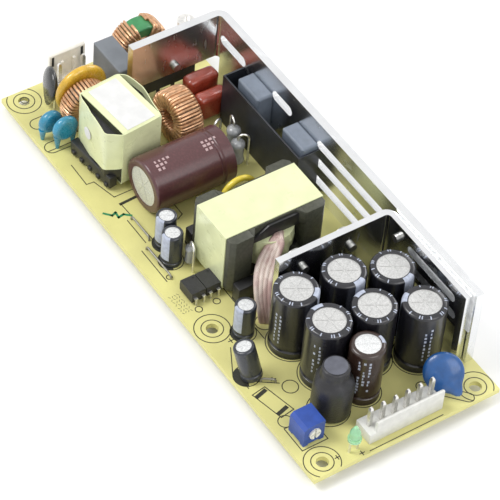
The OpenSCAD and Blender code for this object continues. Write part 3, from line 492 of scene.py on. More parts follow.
def prism(points, low_z, high_z, bevel=0.0):
    """An upright prism over an outline in plan."""
    work = bmesh.new()
    face = work.faces.new([work.verts.new((x, y, low_z)) for x, y in points])
    raised = bmesh.ops.extrude_face_region(work, geom=[face])["geom"]
    moved = [part for part in raised if isinstance(part, bmesh.types.BMVert)]
    bmesh.ops.translate(work, verts=moved, vec=(0, 0, high_z - low_z))
    bmesh.ops.recalc_face_normals(work, faces=work.faces)
    if bevel:
        round_off(work, list(work.edges), bevel, 2)
    return work


def teardrop(centre, tip, across, radius, half, lean):
    """A dipped disc, level along one direction, that leans back and is drawn out to a tip."""
    across = Vector((*across, 0)).normalized()
    back = Vector((-across.y, across.x, 0))
    rise = back * math.sin(math.radians(lean)) + Vector((0, 0, math.cos(math.radians(lean))))
    normal = across.cross(rise)
    reach = tip - centre
    aim = Vector((reach.dot(across), reach.dot(rise)))
    drawn = aim.length / radius - 1
    narrow = 26                     # the power that keeps the drawn-out part slim
    work = bmesh.new()
    bmesh.ops.create_uvsphere(work, u_segments=64, v_segments=24, radius=1)
    for vert in work.verts:
        flat = Vector((vert.co.x, vert.co.y))
        share = max(0, flat.normalized().dot(aim.normalized())) ** narrow if flat.length > 1e-6 else 0
        flat = flat * radius * (1 + drawn * share * flat.length)
        vert.co = centre + across * flat.x + rise * flat.y + normal * (vert.co.z * half)
    return work


def crumple(work, amount, size, seed):
    """Moves the surface in and out by smooth noise."""
    bmesh.ops.recalc_face_normals(work, faces=work.faces)
    shift = Vector((seed * 7.3, seed * 3.1, seed * 5.7))
    moves = [v.normal * noise.noise((v.co + shift) / size) * amount for v in work.verts]
    for vert, move in zip(work.verts, moves):
        vert.co += move
    return work


def thicken(work, amount):
    """Gives an open shell a wall."""
    bmesh.ops.recalc_face_normals(work, faces=work.faces)
    bmesh.ops.solidify(work, geom=list(work.faces), thickness=amount)


def tube(name, paths, radius, material, replaces, resolution=2):
    """Round wires along smooth paths in millimetres, as one mesh piece."""
    curve = bpy.data.curves.new(name, "CURVE")
    curve.dimensions = "3D"
    curve.bevel_depth = radius * MM
    curve.bevel_resolution = resolution
    curve.use_fill_caps = True
    for path in paths:
        spline = curve.splines.new("POLY")
        spline.points.add(len(path) - 1)
        for point, spot in zip(spline.points, path):
            point.co = (*(Vector(spot) * MM), 1)
    holder = bpy.data.objects.new(name + "_path", curve)
    bpy.context.scene.collection.objects.link(holder)
    bpy.context.view_layer.update()
    mesh = bpy.data.meshes.new_from_object(holder.evaluated_get(bpy.context.evaluated_depsgraph_get()))
    bpy.data.objects.remove(holder)
    bpy.data.curves.remove(curve)
    work = in_mm(mesh)
    bpy.data.meshes.remove(mesh)
    piece(name, work, material, replaces)


def bend(points, steps):
    """A smooth path through given points (Catmull-Rom)."""
    spots = [Vector(p) for p in points]
    spots = [2 * spots[0] - spots[1], *spots, 2 * spots[-1] - spots[-2]]
    path = []
    for before, a, b, after in zip(spots, spots[1:], spots[2:], spots[3:]):
        for step in range(steps):
            t = step / steps
            path.append(0.5 * (2 * a + (b - before) * t + (2 * before - 5 * a + 4 * b - after) * t * t
                               + (3 * a - before - 3 * b + after) * t ** 3))
    path.append(spots[-2])
    return path


def soft_copy(node, name, material):
    """A copy of a CAD node with its sharp edges rounded, which then stands for it."""
    width = 0.18
    sharp_from = math.radians(35)
    work = in_mm(NODES[node].data)
    bmesh.ops.remove_doubles(work, verts=work.verts, dist=1e-4)
    bmesh.ops.dissolve_limit(work, angle_limit=math.radians(1), verts=work.verts, edges=work.edges)
    sharp = [e for e in work.edges if len(e.link_faces) == 2 and e.calc_face_angle(0) > sharp_from]
    round_off(work, sharp, width, 2, clamp_overlap=True)
    piece(name, work, material, (node,))


# ---------------------------------------------------------------- properties

COLOUR = {"subtype": "COLOR", "min": 0, "max": 1}


class SupplyBoard(bpy.types.PropertyGroup):
    laminate: FloatVectorProperty(name="Laminate", description="Colour of the bare board",
                                  default=(0.72, 0.68, 0.27), **COLOUR)
    ink: FloatVectorProperty(name="Ink", description="Colour of the printed lines",
                             default=(0.03, 0.03, 0.02), **COLOUR)
    line: FloatProperty(name="Line", description="Width of a printed line in mm",
                        default=0.27, min=0.1, max=0.5)


class SupplyMetal(bpy.types.PropertyGroup):
    sheet: FloatVectorProperty(name="Sheet", description="Colour of the heatsinks",
                               default=(0.86, 0.87, 0.88), **COLOUR)
    can: FloatVectorProperty(name="Can", description="Colour of the capacitor tops",
                             default=(0.60, 0.60, 0.59), **COLOUR)
    tin: FloatVectorProperty(name="Tin", description="Colour of pins and leads",
                             default=(0.80, 0.79, 0.76), **COLOUR)


class SupplyWound(bpy.types.PropertyGroup):
    wire: FloatVectorProperty(name="Wire", description="Colour of the enamelled wire",
                              default=(0.64, 0.36, 0.19), **COLOUR)
    tape: FloatVectorProperty(name="Tape", description="Colour of the insulating tape",
                              default=(0.73, 0.77, 0.46), **COLOUR)
    ferrite: FloatVectorProperty(name="Ferrite", description="Colour of the cores",
                                 default=(0.052, 0.054, 0.038), **COLOUR)
    ring_turns: IntProperty(name="Turns", description="Turns on the large ring choke",
                            default=48, min=20, max=60)


class SupplyStage(bpy.types.PropertyGroup):
    place: FloatVectorProperty(name="Camera", description="Place of the camera", subtype="TRANSLATION",
                               unit="LENGTH", default=(0.42136, -0.32075, 0.58538))
    azimuth: FloatProperty(name="Azimuth", description="Heading of the view in degrees", default=52.42)
    elevation: FloatProperty(name="Elevation", description="Downward tilt in degrees", default=47.89)
    roll: FloatProperty(name="Roll", description="Turn about the view's axis in degrees", default=-5.46)
    lens: FloatProperty(name="Lens", description="Focal length in mm", default=204.3, min=50, max=300)


# ---------------------------------------------------------------- operators

class Maker:
    """What every operator of this file shares."""
    bl_options = {"REGISTER"}

    def execute(self, context):
        self.build(context.scene)
        return {"FINISHED"}


class SUPPLY_OT_board(Maker, bpy.types.Operator):
    """Finish of the board and its printed lines"""
    bl_idname = "supply.board"
    bl_label = "Board and print"

    hole_rings = (3.05, 5.0)        # radii of the two rings round a mounting hole
    edge_gap = 0.25                 # bare board between the outer ring and the edge
    crosses = ((76.8, -20.6), (78.9, -14.2), (46.6, -20.4), (29.6, -22.8))
    # the middle and the radius
    small_rings = ((50.9, -17.9, 2.2), (60.0, -25.6, 2.0), (28.8, -11.4, 2.6), (15.9, -24.2, 1.0),
                   (15.9, -18.4, 1.0), (2.1, -24.9, 0.8), (-76.2, -24.5, 1.2))
    outlines = (
        ((47.5, -23.8), (57.7, -21.4), (58.4, -25.8), (48.2, -28.2), (47.5, -23.8)),
        ((-27.7, -22), (-12.1, -21.4), (-12.4, -16.3), (-15.9, -9.2), (-28, -9.2)),
        ((13.1, -14.3), (18.7, -14.4), (18.7, 15.4)),
        ((-55.2, -29), (-55.2, -20.3)),
        ((-47.4, -26.2), (-38.9, -26.4), (-38.7, -24.1), (-30.9, -22.2), (-30.9, -14.2)),
        ((61.9, -27.3), (70.4, -27.3), (70.4, -19.2), (61.9, -19.2), (61.9, -27.3)),
        ((79.4, -12), (79.4, 11.6)),
        ((42, -27.8), (45.8, -27.8)),
        ((45, -24.6), (48.4, -19.8)),
        ((-9.8, -26.3), (3.1, -26.3)),
        ((-21.5, -23.7), (-12, -23.7)),
        ((24.6, -14.6), (33.4, -14.6)),
        ((31.6, -24.2), (40.2, -29.1)),
        ((16.2, 17.6), (27.4, 17.6)),
    )
    # both ends and the radius
    capsules = (((68.6, 12.4), (78.2, 21.0), 1.5),
                ((-66.2, -26.2), (-66.2, -20.4), 2.1),
                ((-56.1, -27.4), (-56.0, -18.4), 2.1))
    # the width and both ends
    bars = ((0.9, (-27.7, -22), (-28, -16.3)),
            (1.2, (48.6, -24.6), (49.3, -27.2)),
            (1.2, (56.2, -22.9), (56.9, -25.4)))
    pen_path = ((-27.0, -28.0), (-25.2, -26.4), (-25.7, -25.0), (-23.7, -25.2), (-24.0, -23.4),
                (-22.6, -21.8))

    def build(self, scene):
        look = scene.supply_board
        wear(laminate("laminate", look.laminate), "pcb")
        work = bmesh.new()
        self.print_holes(work, look.line)
        self.print_parts(work, look.line)
        self.print_lines(work, look.line)
        self.print_ticks(work)
        piece("board_print", work, mottled("printed ink", tuple(look.ink), 0.55, 0.2, 0.6))
        work = bmesh.new()
        stroke(work, self.pen_path, 0.7, TOP + INK)
        piece("inspection_mark", work, mottled("green marker", (0.02, 0.22, 0.09), 0.5, 0.2, 1.0))

    def print_holes(self, work, line):
        """Two rings round each mounting hole, the outer one open where the board ends."""
        x_end = BOARD_HIGH.x - HOLE_IN_X
        y_end = BOARD_HIGH.y - HOLE_IN_Y
        inner, outer = self.hole_rings
        holes = [(-x_end, -y_end), (x_end, -y_end), (x_end, y_end), (-x_end, y_end), (MID_HOLE_X, -y_end)]
        for x, y in holes:
            ring(work, (x, y), inner, line)
            room = BOARD_HIGH.x - self.edge_gap - abs(x)
            beyond = math.degrees(math.acos(min(1, room / outer)))
            outward = 0 if x > 0 else 180
            ring(work, (x, y), outer, line, sweep=360 - 2 * beyond, start=outward + beyond)

    def print_parts(self, work, line):
        """Rings round the parts that stand on the board."""
        clear = 0.5
        for corners in loose_parts("output_capacitor_sleeves"):
            ring(work, stand(corners).translation, (corners[1].x - corners[0].x) / 2 + 1.1 * clear, line)
        for node in ("filter_capacitor_sleeve", "rod_choke"):
            ring(work, middle(node), extent(node).x / 2 + clear, line)
        for corners in loose_parts("small_capacitor_sleeves"):
            centre = stand(corners).translation
            ring(work, centre, radius=3.6, width=line)
            ring(work, centre, radius=2.4, width=2.2, sweep=150, start=190)

    def print_lines(self, work, line):
        """Crosses, small rings, outlines and bars between the parts."""
        arm = 0.7
        for x, y in self.crosses:
            stroke(work, [(x - arm, y), (x + arm, y)], line)
            stroke(work, [(x, y - arm), (x, y + arm)], line)
        for *spot, radius in self.small_rings:
            ring(work, spot, radius, line)
        for outline in self.outlines:
            stroke(work, outline, line)
        for start, end, radius in self.capsules:
            self.capsule(work, Vector(start), Vector(end), radius, line)
        for width, *ends in self.bars:
            stroke(work, ends, width)

    def print_ticks(self, work):
        """Rows of short slanted ticks beside the long edge."""
        first_x, first_y = 8.5, -28.9
        along, up, drift = 1.1, 0.85, 0.05
        jitter = 0.15
        run, rise = 0.25, 0.175
        ticks = random.Random(4)
        for row in range(4):
            for column in range(7):
                x = first_x + column * along + ticks.uniform(-jitter, jitter)
                y = first_y + row * up + column * drift
                slant = ticks.choice((rise, -rise))
                stroke(work, [(x - run, y - slant), (x + run, y + slant)], 0.12)

    def capsule(self, work, a, b, radius, line):
        """A printed outline with round ends."""
        heading = math.degrees(math.atan2(b.y - a.y, b.x - a.x))
        side = (b - a).normalized().orthogonal() * radius
        for s in (-1, 1):
            stroke(work, [a + side * s, b + side * s], line)
        ring(work, b, radius, line, sweep=180, start=heading - 90, steps=24)
        ring(work, a, radius, line, sweep=180, start=heading + 90, steps=24)


class SUPPLY_OT_heatsinks(Maker, bpy.types.Operator):
    """Finish of the heatsinks, their film and their screws"""
    bl_idname = "supply.heatsinks"
    bl_label = "Heatsinks"

    def build(self, scene):
        sheet = tuple(scene.supply_metal.sheet)
        wear(sheet_metal("rolled sheet", sheet, 0.24), "primary_heatsink")
        wear(sheet_metal("bright sheet", sheet, 0.16), "secondary_heatsink")
        wear(mottled("pale film", (0.72, 0.73, 0.74), 0.4, 0.18, 1.5, 0.03), "insulating_film")
        wear(sheet_metal("zinc screw", (0.42, 0.42, 0.40), 0.34), "heatsink_screws")


class SUPPLY_OT_devices(Maker, bpy.types.Operator):
    """Power devices, their silicone caps and the black shield"""
    bl_idname = "supply.devices"
    bl_label = "Power devices"

    def build(self, scene):
        resin = mottled("moulded resin", (0.022, 0.022, 0.024), 0.46, 0.25, 0.5, 0.008)
        wear(resin, "power_transistors", "output_rectifiers", "bridge_rectifier", "optocouplers")
        wear(mottled("silicone", (0.16, 0.19, 0.24), 0.42, 0.10, 3, 0.02, Coat_Weight=0.15), "silicone_caps")
        wear(mottled("black sheet", (0.018, 0.020, 0.026), 0.36, 0.2, 4, 0.01), "insulating_shield")


class SUPPLY_OT_connectors(Maker, bpy.types.Operator):
    """Both pin headers"""
    bl_idname = "supply.connectors"
    bl_label = "Pin headers"

    def build(self, scene):
        nylon = mottled("nylon", (0.70, 0.70, 0.66), 0.42, 0.05, 2, 0.01)
        soft_copy("output_header_housing", "output_header", nylon)
        # The input header wears a lighter copy of the same nylon. This is painted light, to brighten its wall
        # where it falls in shade.
        bright = mottled("pale nylon", (0.92, 0.90, 0.83), 0.42, 0.05, 2, 0.01)
        soft_copy("input_header_housing", "input_header", bright)
        from_end = 1.1              # a wall slot's middle, from the housing's end
        from_back = 1.42            # from its -X side
        above = 9.6                 # and over the board
        first, last = low("input_header_housing"), high("input_header_housing")
        work = bmesh.new()
        for y in (first.y + from_end, last.y - from_end):
            merge(work, block((first.x + from_back, y, TOP + above), (0.06, 0.8, 3.6), 0.01, 1))
        piece("wall_slots", work, mottled("slot shadow", (0.02, 0.02, 0.02), 0.7, 0.1, 1))
        wear(tinned(scene), "output_header_pins", "input_header_pins", "heavy_pin_tips", "solder_joints",
             "bobbin_pins")


class SUPPLY_OT_input_parts(Maker, bpy.types.Operator):
    """Fuse, discs and boxed capacitors of the input end"""
    bl_idname = "supply.input_parts"
    bl_label = "Input parts"

    def build(self, scene):
        wear(clear_resin("fuse glass", (0.85, 0.92, 0.90), 0.8), "fuse_tube")
        wear(tinned(scene), "fuse_leads", "disc_leads")
        spot = middle("thermistor_disc")
        neck = spot + Vector((1.2, 0.6, 4.6 - spot.z))
        disc = teardrop(spot - Vector((0, 0, 0.9)), neck, across=(0.95, -0.31), radius=5.2, half=1.8, lean=8)
        piece("thermistor_body", disc, dipped("dark dip", (0.020, 0.022, 0.021)),
              ("thermistor_disc",), 60)
        wear(dipped("mustard dip", (0.66, 0.40, 0.035)), "varistor_disc")
        wear(dipped("sky dip", (0.03, 0.24, 0.38)), "y_capacitors")
        wear(mottled("grey box", (0.17, 0.185, 0.205), 0.4, 0.08, 4, 0.01), "x_capacitor")
        work = bmesh.new()
        for corners in loose_parts("film_capacitors"):
            centre = (corners[0] + corners[1]) / 2
            body = block(centre, corners[1] - corners[0], bevel=1.7, segments=5, cuts=2)
            merge(work, crumple(body, amount=0.12, size=2.2, seed=centre.x))
        piece("film_capacitor_bodies", work, dipped("red brown dip", (0.30, 0.045, 0.022), 0.3),
              ("film_capacitors",), 60)


class SUPPLY_OT_ring_chokes(Maker, bpy.types.Operator):
    """Ring cores and the wire on them"""
    bl_idname = "supply.ring_chokes"
    bl_label = "Ring chokes"

    wire_radius = 0.45
    # of the cores' holes
    hole_radius = {"toroid": 4.2, "line_choke": 3.4, "green_choke": 3.9}

    def build(self, scene):
        look = scene.supply_wound
        core = mottled("core lacquer", tuple(look.ferrite), 0.35, 0.2, 2)
        wear(core, "line_choke_core", "toroid_core")
        wear(mottled("green core", (0.05, 0.24, 0.09), 0.32, 0.15, 2), "green_choke_core")
        # name, axis, turns, sweep of one winding and where each winding is centred
        rings = (("toroid", 1, look.ring_turns, 360, (0,)), ("line_choke", 0, 38, 360, (0,)),
                 ("green_choke", 0, 19, 142, (0, 180)))
        for name, axis, count, sweep, starts in rings:
            wires = [self.turns(name, axis, count, sweep, start) for start in starts]
            tube(name + "_wire", wires, self.wire_radius, copper(scene), (name + "_winding",))

    def turns(self, name, axis, count, sweep, start):
        """One wire wound evenly over a part of a ring core whose axis is X (0) or Y (1)."""
        centre = middle(name + "_core")
        size = extent(name + "_core")
        radius = self.wire_radius
        outer = size.z / 2
        hole = self.hole_radius[name]
        half = size[axis] / 2 + radius
        mid = (outer + hole) / 2
        reach = (outer - hole) / 2 + radius
        per_turn = 24
        square = 0.4                # the power that squares the turn's corners
        path = []
        for step in range(count * per_turn + 1):
            around = 2 * math.pi * step / per_turn
            heading = math.radians(start - sweep / 2 + sweep * step / (count * per_turn))
            out = math.copysign(abs(math.cos(around)) ** square, math.cos(around))
            side = math.copysign(abs(math.sin(around)) ** square, math.sin(around))
            inner_layer = 1.1 * radius * (step // per_turn % 2) if out < 0 else 0
            ring_r = mid + reach * out - inner_layer
            spot = [0, 0, math.sin(heading) * ring_r]
            spot[axis] = half * side
            spot[1 - axis] = math.cos(heading) * ring_r
            path.append(centre + Vector(spot))
        return path


class SUPPLY_OT_inductor(Maker, bpy.types.Operator):
    """Taped inductor with its blank label"""
    bl_idname = "supply.inductor"
    bl_label = "Inductor"

    skew = 5.5                      # degrees the part stands out of square
    half = 6.6                      # half the width of the core
    core_l = 19.9
    tape_l = 20.3                   # the core with its tape
    seam_over = 3.6                 # where the wire starts over the coil's foot
    label_size = (18.2, 9.6, 0.08)
    dot_radius = 1.9                # of the round label on the side
    dot_place = (-3.2, -8.72, 16.8)
    dot_turn = -11.3                # degrees, to lie along the wrap
    around_coil = ((-10.15, -6.6), (-8.2, -7.6), (6.8, -10.6), (10.15, -6.6), (10.15, 6.6), (2.0, 8.5),
                   (-2.1, 9.4), (-8.4, 8.6), (-10.15, 6.6))

    def build(self, scene):
        low_z, high_z = low("inductor_tape").z, high("inductor_tape").z
        coil_low, coil_high = low("inductor_winding").z, high("inductor_winding").z
        core_size = (self.core_l, 2 * self.half - 0.1, high_z - low_z - 0.8)
        core = block((0, 0, (low_z + high_z) / 2), core_size, 0.3, 2)
        self.put("inductor_ferrite", core, ferrite(scene), "ferrite", ("inductor_core",))
        seam = coil_low + self.seam_over
        coil = prism(self.inside(0.96), seam, coil_high)
        self.put("inductor_coil", coil, copper(scene), "copper", ("inductor_winding",))
        bobbin = self.bobbin(coil_low, seam, coil_high)
        self.put("inductor_frame", bobbin, bobbin_plastic(), "bobbin", ("inductor_bobbin",))
        wrap = self.wrap(low_z, high_z)
        merge(wrap, self.band(low_z, high_z))
        self.put("inductor_wrap", wrap, taped(scene), "tape", ("inductor_tape",), 35)
        label = block((0.3, 0.1, high_z + 0.05), self.label_size, 0.02, 1)
        spot = Matrix.Translation(self.dot_place) @ turned(90, "X") @ turned(self.dot_turn, "Y")
        merge(label, lathe([(0, 0), (self.dot_radius, 0), (self.dot_radius, 0.2), (0, 0.2)], spot, 32))
        paper = mottled("label paper", (0.69, 0.69, 0.68), 0.5, 0.04, 3, 0.01)
        self.put("blank_labels", label, paper, "tape", ())

    def inside(self, share):
        """The outline round the coil, drawn in to a share of its size."""
        return [(share * x, share * y) for x, y in self.around_coil]

    def bobbin(self, coil_low, seam, coil_high):
        """A flange over the coil, the body under it, and rails with pin blocks on both sides."""
        work = prism(self.inside(0.975), coil_high, coil_high + 1.1, 0.1)
        merge(work, prism(self.inside(0.96), coil_low - 1, seam, 0.1))
        for side in (-1, 1):
            merge(work, block((-0.4, side * 8.5, TOP + 3), (18.4, 2.6, 4.2), 0.3, 2))
            for step in range(5):
                merge(work, block((-8 + 3.8 * step, side * 9.6, TOP + 1.6), (1.5, 1.4, 1.4), 0.3, 2))
        return work

    def wrap(self, low_z, high_z):
        """Crumpled tape round the coil, cut higher towards +X."""
        slope = 0.27                # of the lower rim
        work = prism(self.around_coil, low_z + 1.2, high_z - 0.3)
        round_off(work, [e for e in work.edges if abs(e.verts[0].co.z - e.verts[1].co.z) > 1], 0.9, 4)
        lids = [face for face in work.faces if abs(face.normal.z) > 0.9]
        bmesh.ops.delete(work, geom=lids, context="FACES")
        for vert in work.verts:
            if vert.co.z < high_z - 5:
                vert.co.z += max(0, vert.co.x + 10) * slope
        bmesh.ops.subdivide_edges(work, edges=work.edges, cuts=4, use_grid_fill=True)
        crumple(work, amount=0.22, size=3.4, seed=1)
        thicken(work, 0.25)
        return work

    def put(self, name, work, material, density, replaced, angle=40):
        """Stand a piece drawn about the inductor's own middle in its place."""
        centre = middle("inductor_core") + Vector((-0.1, -0.1, 0))
        move(work, Matrix.Translation((centre.x, centre.y, 0)) @ turned(self.skew))
        piece(name, work, material, replaced, angle)

    def band(self, low_z, high_z):
        """The tape over the top, down both ends and under the core."""
        thick = 0.3
        work = bmesh.new()
        place = Matrix.Translation((0, -self.half, (low_z + high_z) / 2))
        size = Matrix.Diagonal((self.tape_l - 2 * thick, 1, high_z - low_z - 2 * thick, 1))
        bmesh.ops.create_grid(work, x_segments=1, y_segments=1, size=0.5,
                              matrix=place @ size @ turned(90, "X"))
        edges = list(work.edges)
        bmesh.ops.delete(work, geom=list(work.faces), context="FACES_ONLY")
        pulled = bmesh.ops.extrude_edge_only(work, edges=edges)["geom"]
        moved = [part for part in pulled if isinstance(part, bmesh.types.BMVert)]
        bmesh.ops.translate(work, verts=moved, vec=(0, 2 * self.half, 0))
        round_off(work, [edge for edge in work.edges if len(edge.link_faces) == 2], 0.7, 4)
        thicken(work, -thick)
        return work


class SUPPLY_OT_transformer(Maker, bpy.types.Operator):
    """Transformer with its taped coil and heavy leads"""
    bl_idname = "supply.transformer"
    bl_label = "Transformer"

    side = 7.0                      # width of an outer leg of the core
    back = 4.5                      # height of a yoke
    notch = 2.6                     # set-back of the yokes between the legs
    lead_radius = 0.92
    lead_route = ((14.4, 1.4, 19.6), (16.0, -0.6, 20.3), (16.8, -3.2, 19.2), (18.2, -6.4, 17.2),
                  (20.5, -9.1, 15.6), (23.0, -10.9, 13.9), (25.2, -11.9, 11.2), (27.2, -12.1, 7.6),
                  (28.2, -11.9, TOP))
    lead_spread = (0.2, 0.3, 0.75, 0.95, 0.95, 0.85, 0.75, 0.6, 0.55)
    lead_apart = Vector((0.86, 1.18, 0.16))

    def build(self, scene):
        wear(taped(scene), "transformer_tape")
        piece("transformer_cores", self.core(), ferrite(scene), ("transformer_core",))
        piece("bobbin_frame", self.bobbin(), bobbin_plastic(), ("transformer_bobbin",))
        centre = middle("transformer_winding") + Vector((0.4, 0, 0))
        size = extent("transformer_winding") + Vector((0.6, -0.3, 0))
        coil = block(centre, size, bevel=7.6, segments=9, upright=True, cuts=6)
        crumple(coil, amount=1.0, size=2.6, seed=3)
        piece("coil_wrap", coil, taped(scene), ("transformer_winding",), 30)
        paths = []
        for strand in range(4):
            step = self.lead_apart * strand
            spots = [Vector(spot) + step * wide for spot, wide in zip(self.lead_route, self.lead_spread)]
            paths.append(bend(spots, 6))
        tube("heavy_leads", paths, self.lead_radius, braid("braid", (0.64, 0.43, 0.39)),
             ("transformer_litz",), 3)
        wear(mottled("yellow sleeving", (0.78, 0.62, 0.06), 0.3, 0.1, 2, Coat_Weight=0.3), "sleeved_wire")

    def core(self):
        """Legs with chamfered edges, and yokes set back between them."""
        lowest, highest = low("transformer_core"), high("transformer_core")
        centre = middle("transformer_core")
        x = (highest.x - lowest.x) / 2
        y = (highest.y - lowest.y) / 2
        inner = y - self.side
        cut = 1.4                   # chamfer of a leg's outer edges
        leg = [(-x, inner), (x, inner), (x, y - cut), (x - cut, y), (cut - x, y), (-x, y - cut)]
        notch = x - self.notch
        waist = inner - 1.9
        yoke = [(-x, -inner), (x, -inner), (notch, -waist), (notch, waist), (x, inner), (-x, inner),
                (-notch, waist), (-notch, -waist)]
        work = bmesh.new()
        for turn in (1, -1):
            merge(work, prism([(turn * a, turn * b) for a, b in leg], lowest.z, highest.z, 0.2))
        for z in (lowest.z, highest.z - self.back):
            merge(work, prism(yoke, z, z + self.back, 0.12))
        bmesh.ops.translate(work, verts=work.verts, vec=(centre.x, centre.y, 0))
        return work

    def bobbin(self):
        """Pin rails with their feet, flanges of the coil and a guard at either end."""
        centre = middle("transformer_core")
        x, y, _ = extent("transformer_core") / 2
        coil_low, coil_high = low("transformer_winding").z, high("transformer_winding").z
        gap = 0.2                   # between the bobbin and the core
        wall = 0.9                  # of the flanges and the guards
        foot_h = 1.0
        inner = y - self.side - gap
        edge = x - self.notch
        rail_out = high("transformer_bobbin").x - centre.x
        rail_w = rail_out - x - gap
        rail_l = extent("transformer_bobbin").y
        rail_low = TOP + foot_h
        rail_top = low("transformer_core").z + self.back - 0.5
        work = bmesh.new()
        for z in (coil_low - wall, coil_high):
            merge(work, block((centre.x, centre.y, z + wall / 2), (2 * edge, 2 * inner, wall), 0.15, 2))
        guard_h = 4.4
        guard = [(-inner, 0), (inner, 0), (inner, guard_h), (-0.3 * inner, guard_h), (-inner, 0.9)]
        upright = Matrix(((0, 0, 1, 0), (1, 0, 0, 0), (0, 1, 0, 0), (0, 0, 0, 1)))
        for side in (-1, 1):
            rail_x = centre.x + side * (rail_out - rail_w / 2)
            rail = (rail_x, centre.y, (rail_low + rail_top) / 2)
            merge(work, block(rail, (rail_w, rail_l, rail_top - rail_low), 0.3, 2))
            for end in (-1, 1):
                foot = (rail_x, centre.y + end * (rail_l / 2 - 0.6), TOP + foot_h / 2)
                merge(work, block(foot, (rail_w, 1.2, foot_h), 0.1, 1))
            lip = prism(guard, 0, wall, 0.12)
            lip_x = centre.x + side * (edge + 0.5) - wall / 2
            move(lip, Matrix.Translation((lip_x, centre.y, coil_high + gap)) @ upright)
            merge(work, lip)
        return work


class SUPPLY_OT_capacitors(Maker, bpy.types.Operator):
    """Cans, sleeves and polarity stripes"""
    bl_idname = "supply.capacitors"
    bl_label = "Capacitors"

    headings = (45, 12, 12, 182, 192, 222)      # where the stripes of the output cans face, in degrees
    proud = 0.03                                # how far a mark stands out of its sleeve
    striped_below = 6.2                         # small sleeves wider than this have no stripe

    def build(self, scene):
        wear(can_metal("can metal", tuple(scene.supply_metal.can)), "output_capacitor_cans")
        wear(can_metal("bright can", (0.76, 0.77, 0.77), 0.5), "filter_capacitor_can", "small_capacitor_cans")
        wear(can_metal("pale can", (0.66, 0.67, 0.60), 0.25), "bulk_capacitor_can")
        wear(shrink_sleeve("black sleeve", (0.010, 0.010, 0.014)), "output_capacitor_sleeves")
        wear(shrink_sleeve("slate sleeve", (0.022, 0.026, 0.036)), "small_capacitor_sleeves")
        wear(shrink_sleeve("brown sleeve", (0.034, 0.018, 0.013)), "filter_capacitor_sleeve")
        wear(shrink_sleeve("maroon sleeve", (0.085, 0.028, 0.030), 0.34), "bulk_capacitor_sleeve")
        marks = random.Random(7)
        work = bmesh.new()
        for corners, heading in zip(loose_parts("output_capacitor_sleeves"), self.headings):
            self.output_marks(work, corners, heading, marks)
        for corners in loose_parts("filter_capacitor_sleeve"):
            self.stripe(work, corners, 82, sweep=36)
            for row in range(11):
                for column in range(3):
                    if marks.random() < 0.7:
                        height = 4.6 + 1.2 * row
                        self.dash(work, corners, height, -62 + 17 * column, sweep=marks.uniform(4, 9))
        rosy = mottled("dash ink", (0.46, 0.33, 0.33), 0.4, 0.12, 1.0)
        piece("bulk_capacitor_dashes", self.bulk_marks(marks), rosy)
        for corners in loose_parts("small_capacitor_sleeves"):
            if corners[1].x - corners[0].x < self.striped_below:
                self.stripe(work, corners, -78, sweep=62)
        pale = mottled("stripe ink", (0.42, 0.46, 0.56), 0.4, 0.12, 1.0)
        piece("polarity_stripes", work, pale)

    def output_marks(self, work, corners, heading, marks):
        """A stripe, four columns of dashes and ticks round the shoulder of one output can."""
        self.stripe(work, corners, heading, sweep=34)
        for column in (108, 122, -118, -132):
            for row in range(9):
                if marks.random() < 0.8:
                    height = 5.2 + 1.45 * row
                    self.dash(work, corners, height, heading + column, sweep=marks.uniform(3, 6))
        for tick in range(9):
            where = heading + 55 + tick * 30 + marks.uniform(-6, 6)
            self.stripe(work, corners, where, sweep=3.2, shoulder_only=True)
            if tick % 2:
                self.stripe(work, corners, where + 7, sweep=3.2, shoulder_only=True)

    def bulk_marks(self, marks):
        """Plain dashes in two groups along the lying can."""
        axis = middle("bulk_capacitor_sleeve")
        r = extent("bulk_capacitor_sleeve").x / 2 + 0.02
        work = bmesh.new()
        for start in (-14.2, 1.2):
            for row, tilt in enumerate((86, 77, 68)):
                for column in range(4 - row):
                    spot = Matrix.Translation((axis.x, start + 1.35 * column, axis.z))
                    mark = block((r, 0, 0), (0.05, marks.uniform(0.5, 1.0), 0.8), 0.01, 1)
                    move(mark, spot @ turned(-tilt, "Y"))
                    merge(work, mark)
        return work

    def dash(self, work, corners, z, heading, sweep):
        """A small plain mark on a sleeve's side."""
        tall = 0.8
        deep = 0.04
        r = (corners[1].x - corners[0].x) / 2 + self.proud
        profile = [(r - deep, z), (r, z), (r, z + tall), (r - deep, z + tall)]
        merge(work, lathe(profile, stand(corners), 2, sweep, heading, closed=True))

    def stripe(self, work, corners, heading, sweep, shoulder_only=False):
        """A printed stripe that follows a sleeve's side and its shoulder."""
        width = corners[1].x - corners[0].x
        r = width / 2 + self.proud
        top = corners[1].z - corners[0].z + self.proud
        edge = 0.9 if width > 8 else 0.6
        angles = [math.radians(15 * step) for step in range(7)]
        shoulder = [(r - edge + edge * math.cos(a), top - edge + edge * math.sin(a)) for a in angles]
        if shoulder_only:
            outer = [*shoulder[3:], (0.82 * r, top)]
        else:
            outer = [(r, 0.24 * (top - self.proud)), *shoulder, (0.76 * r, top)]
        film = 0.02
        inner = [(x - film, z - film) for x, z in reversed(outer)]
        steps = max(2, round(sweep / 4))
        merge(work, lathe(outer + inner, stand(corners), steps, sweep, heading - sweep / 2, closed=True))


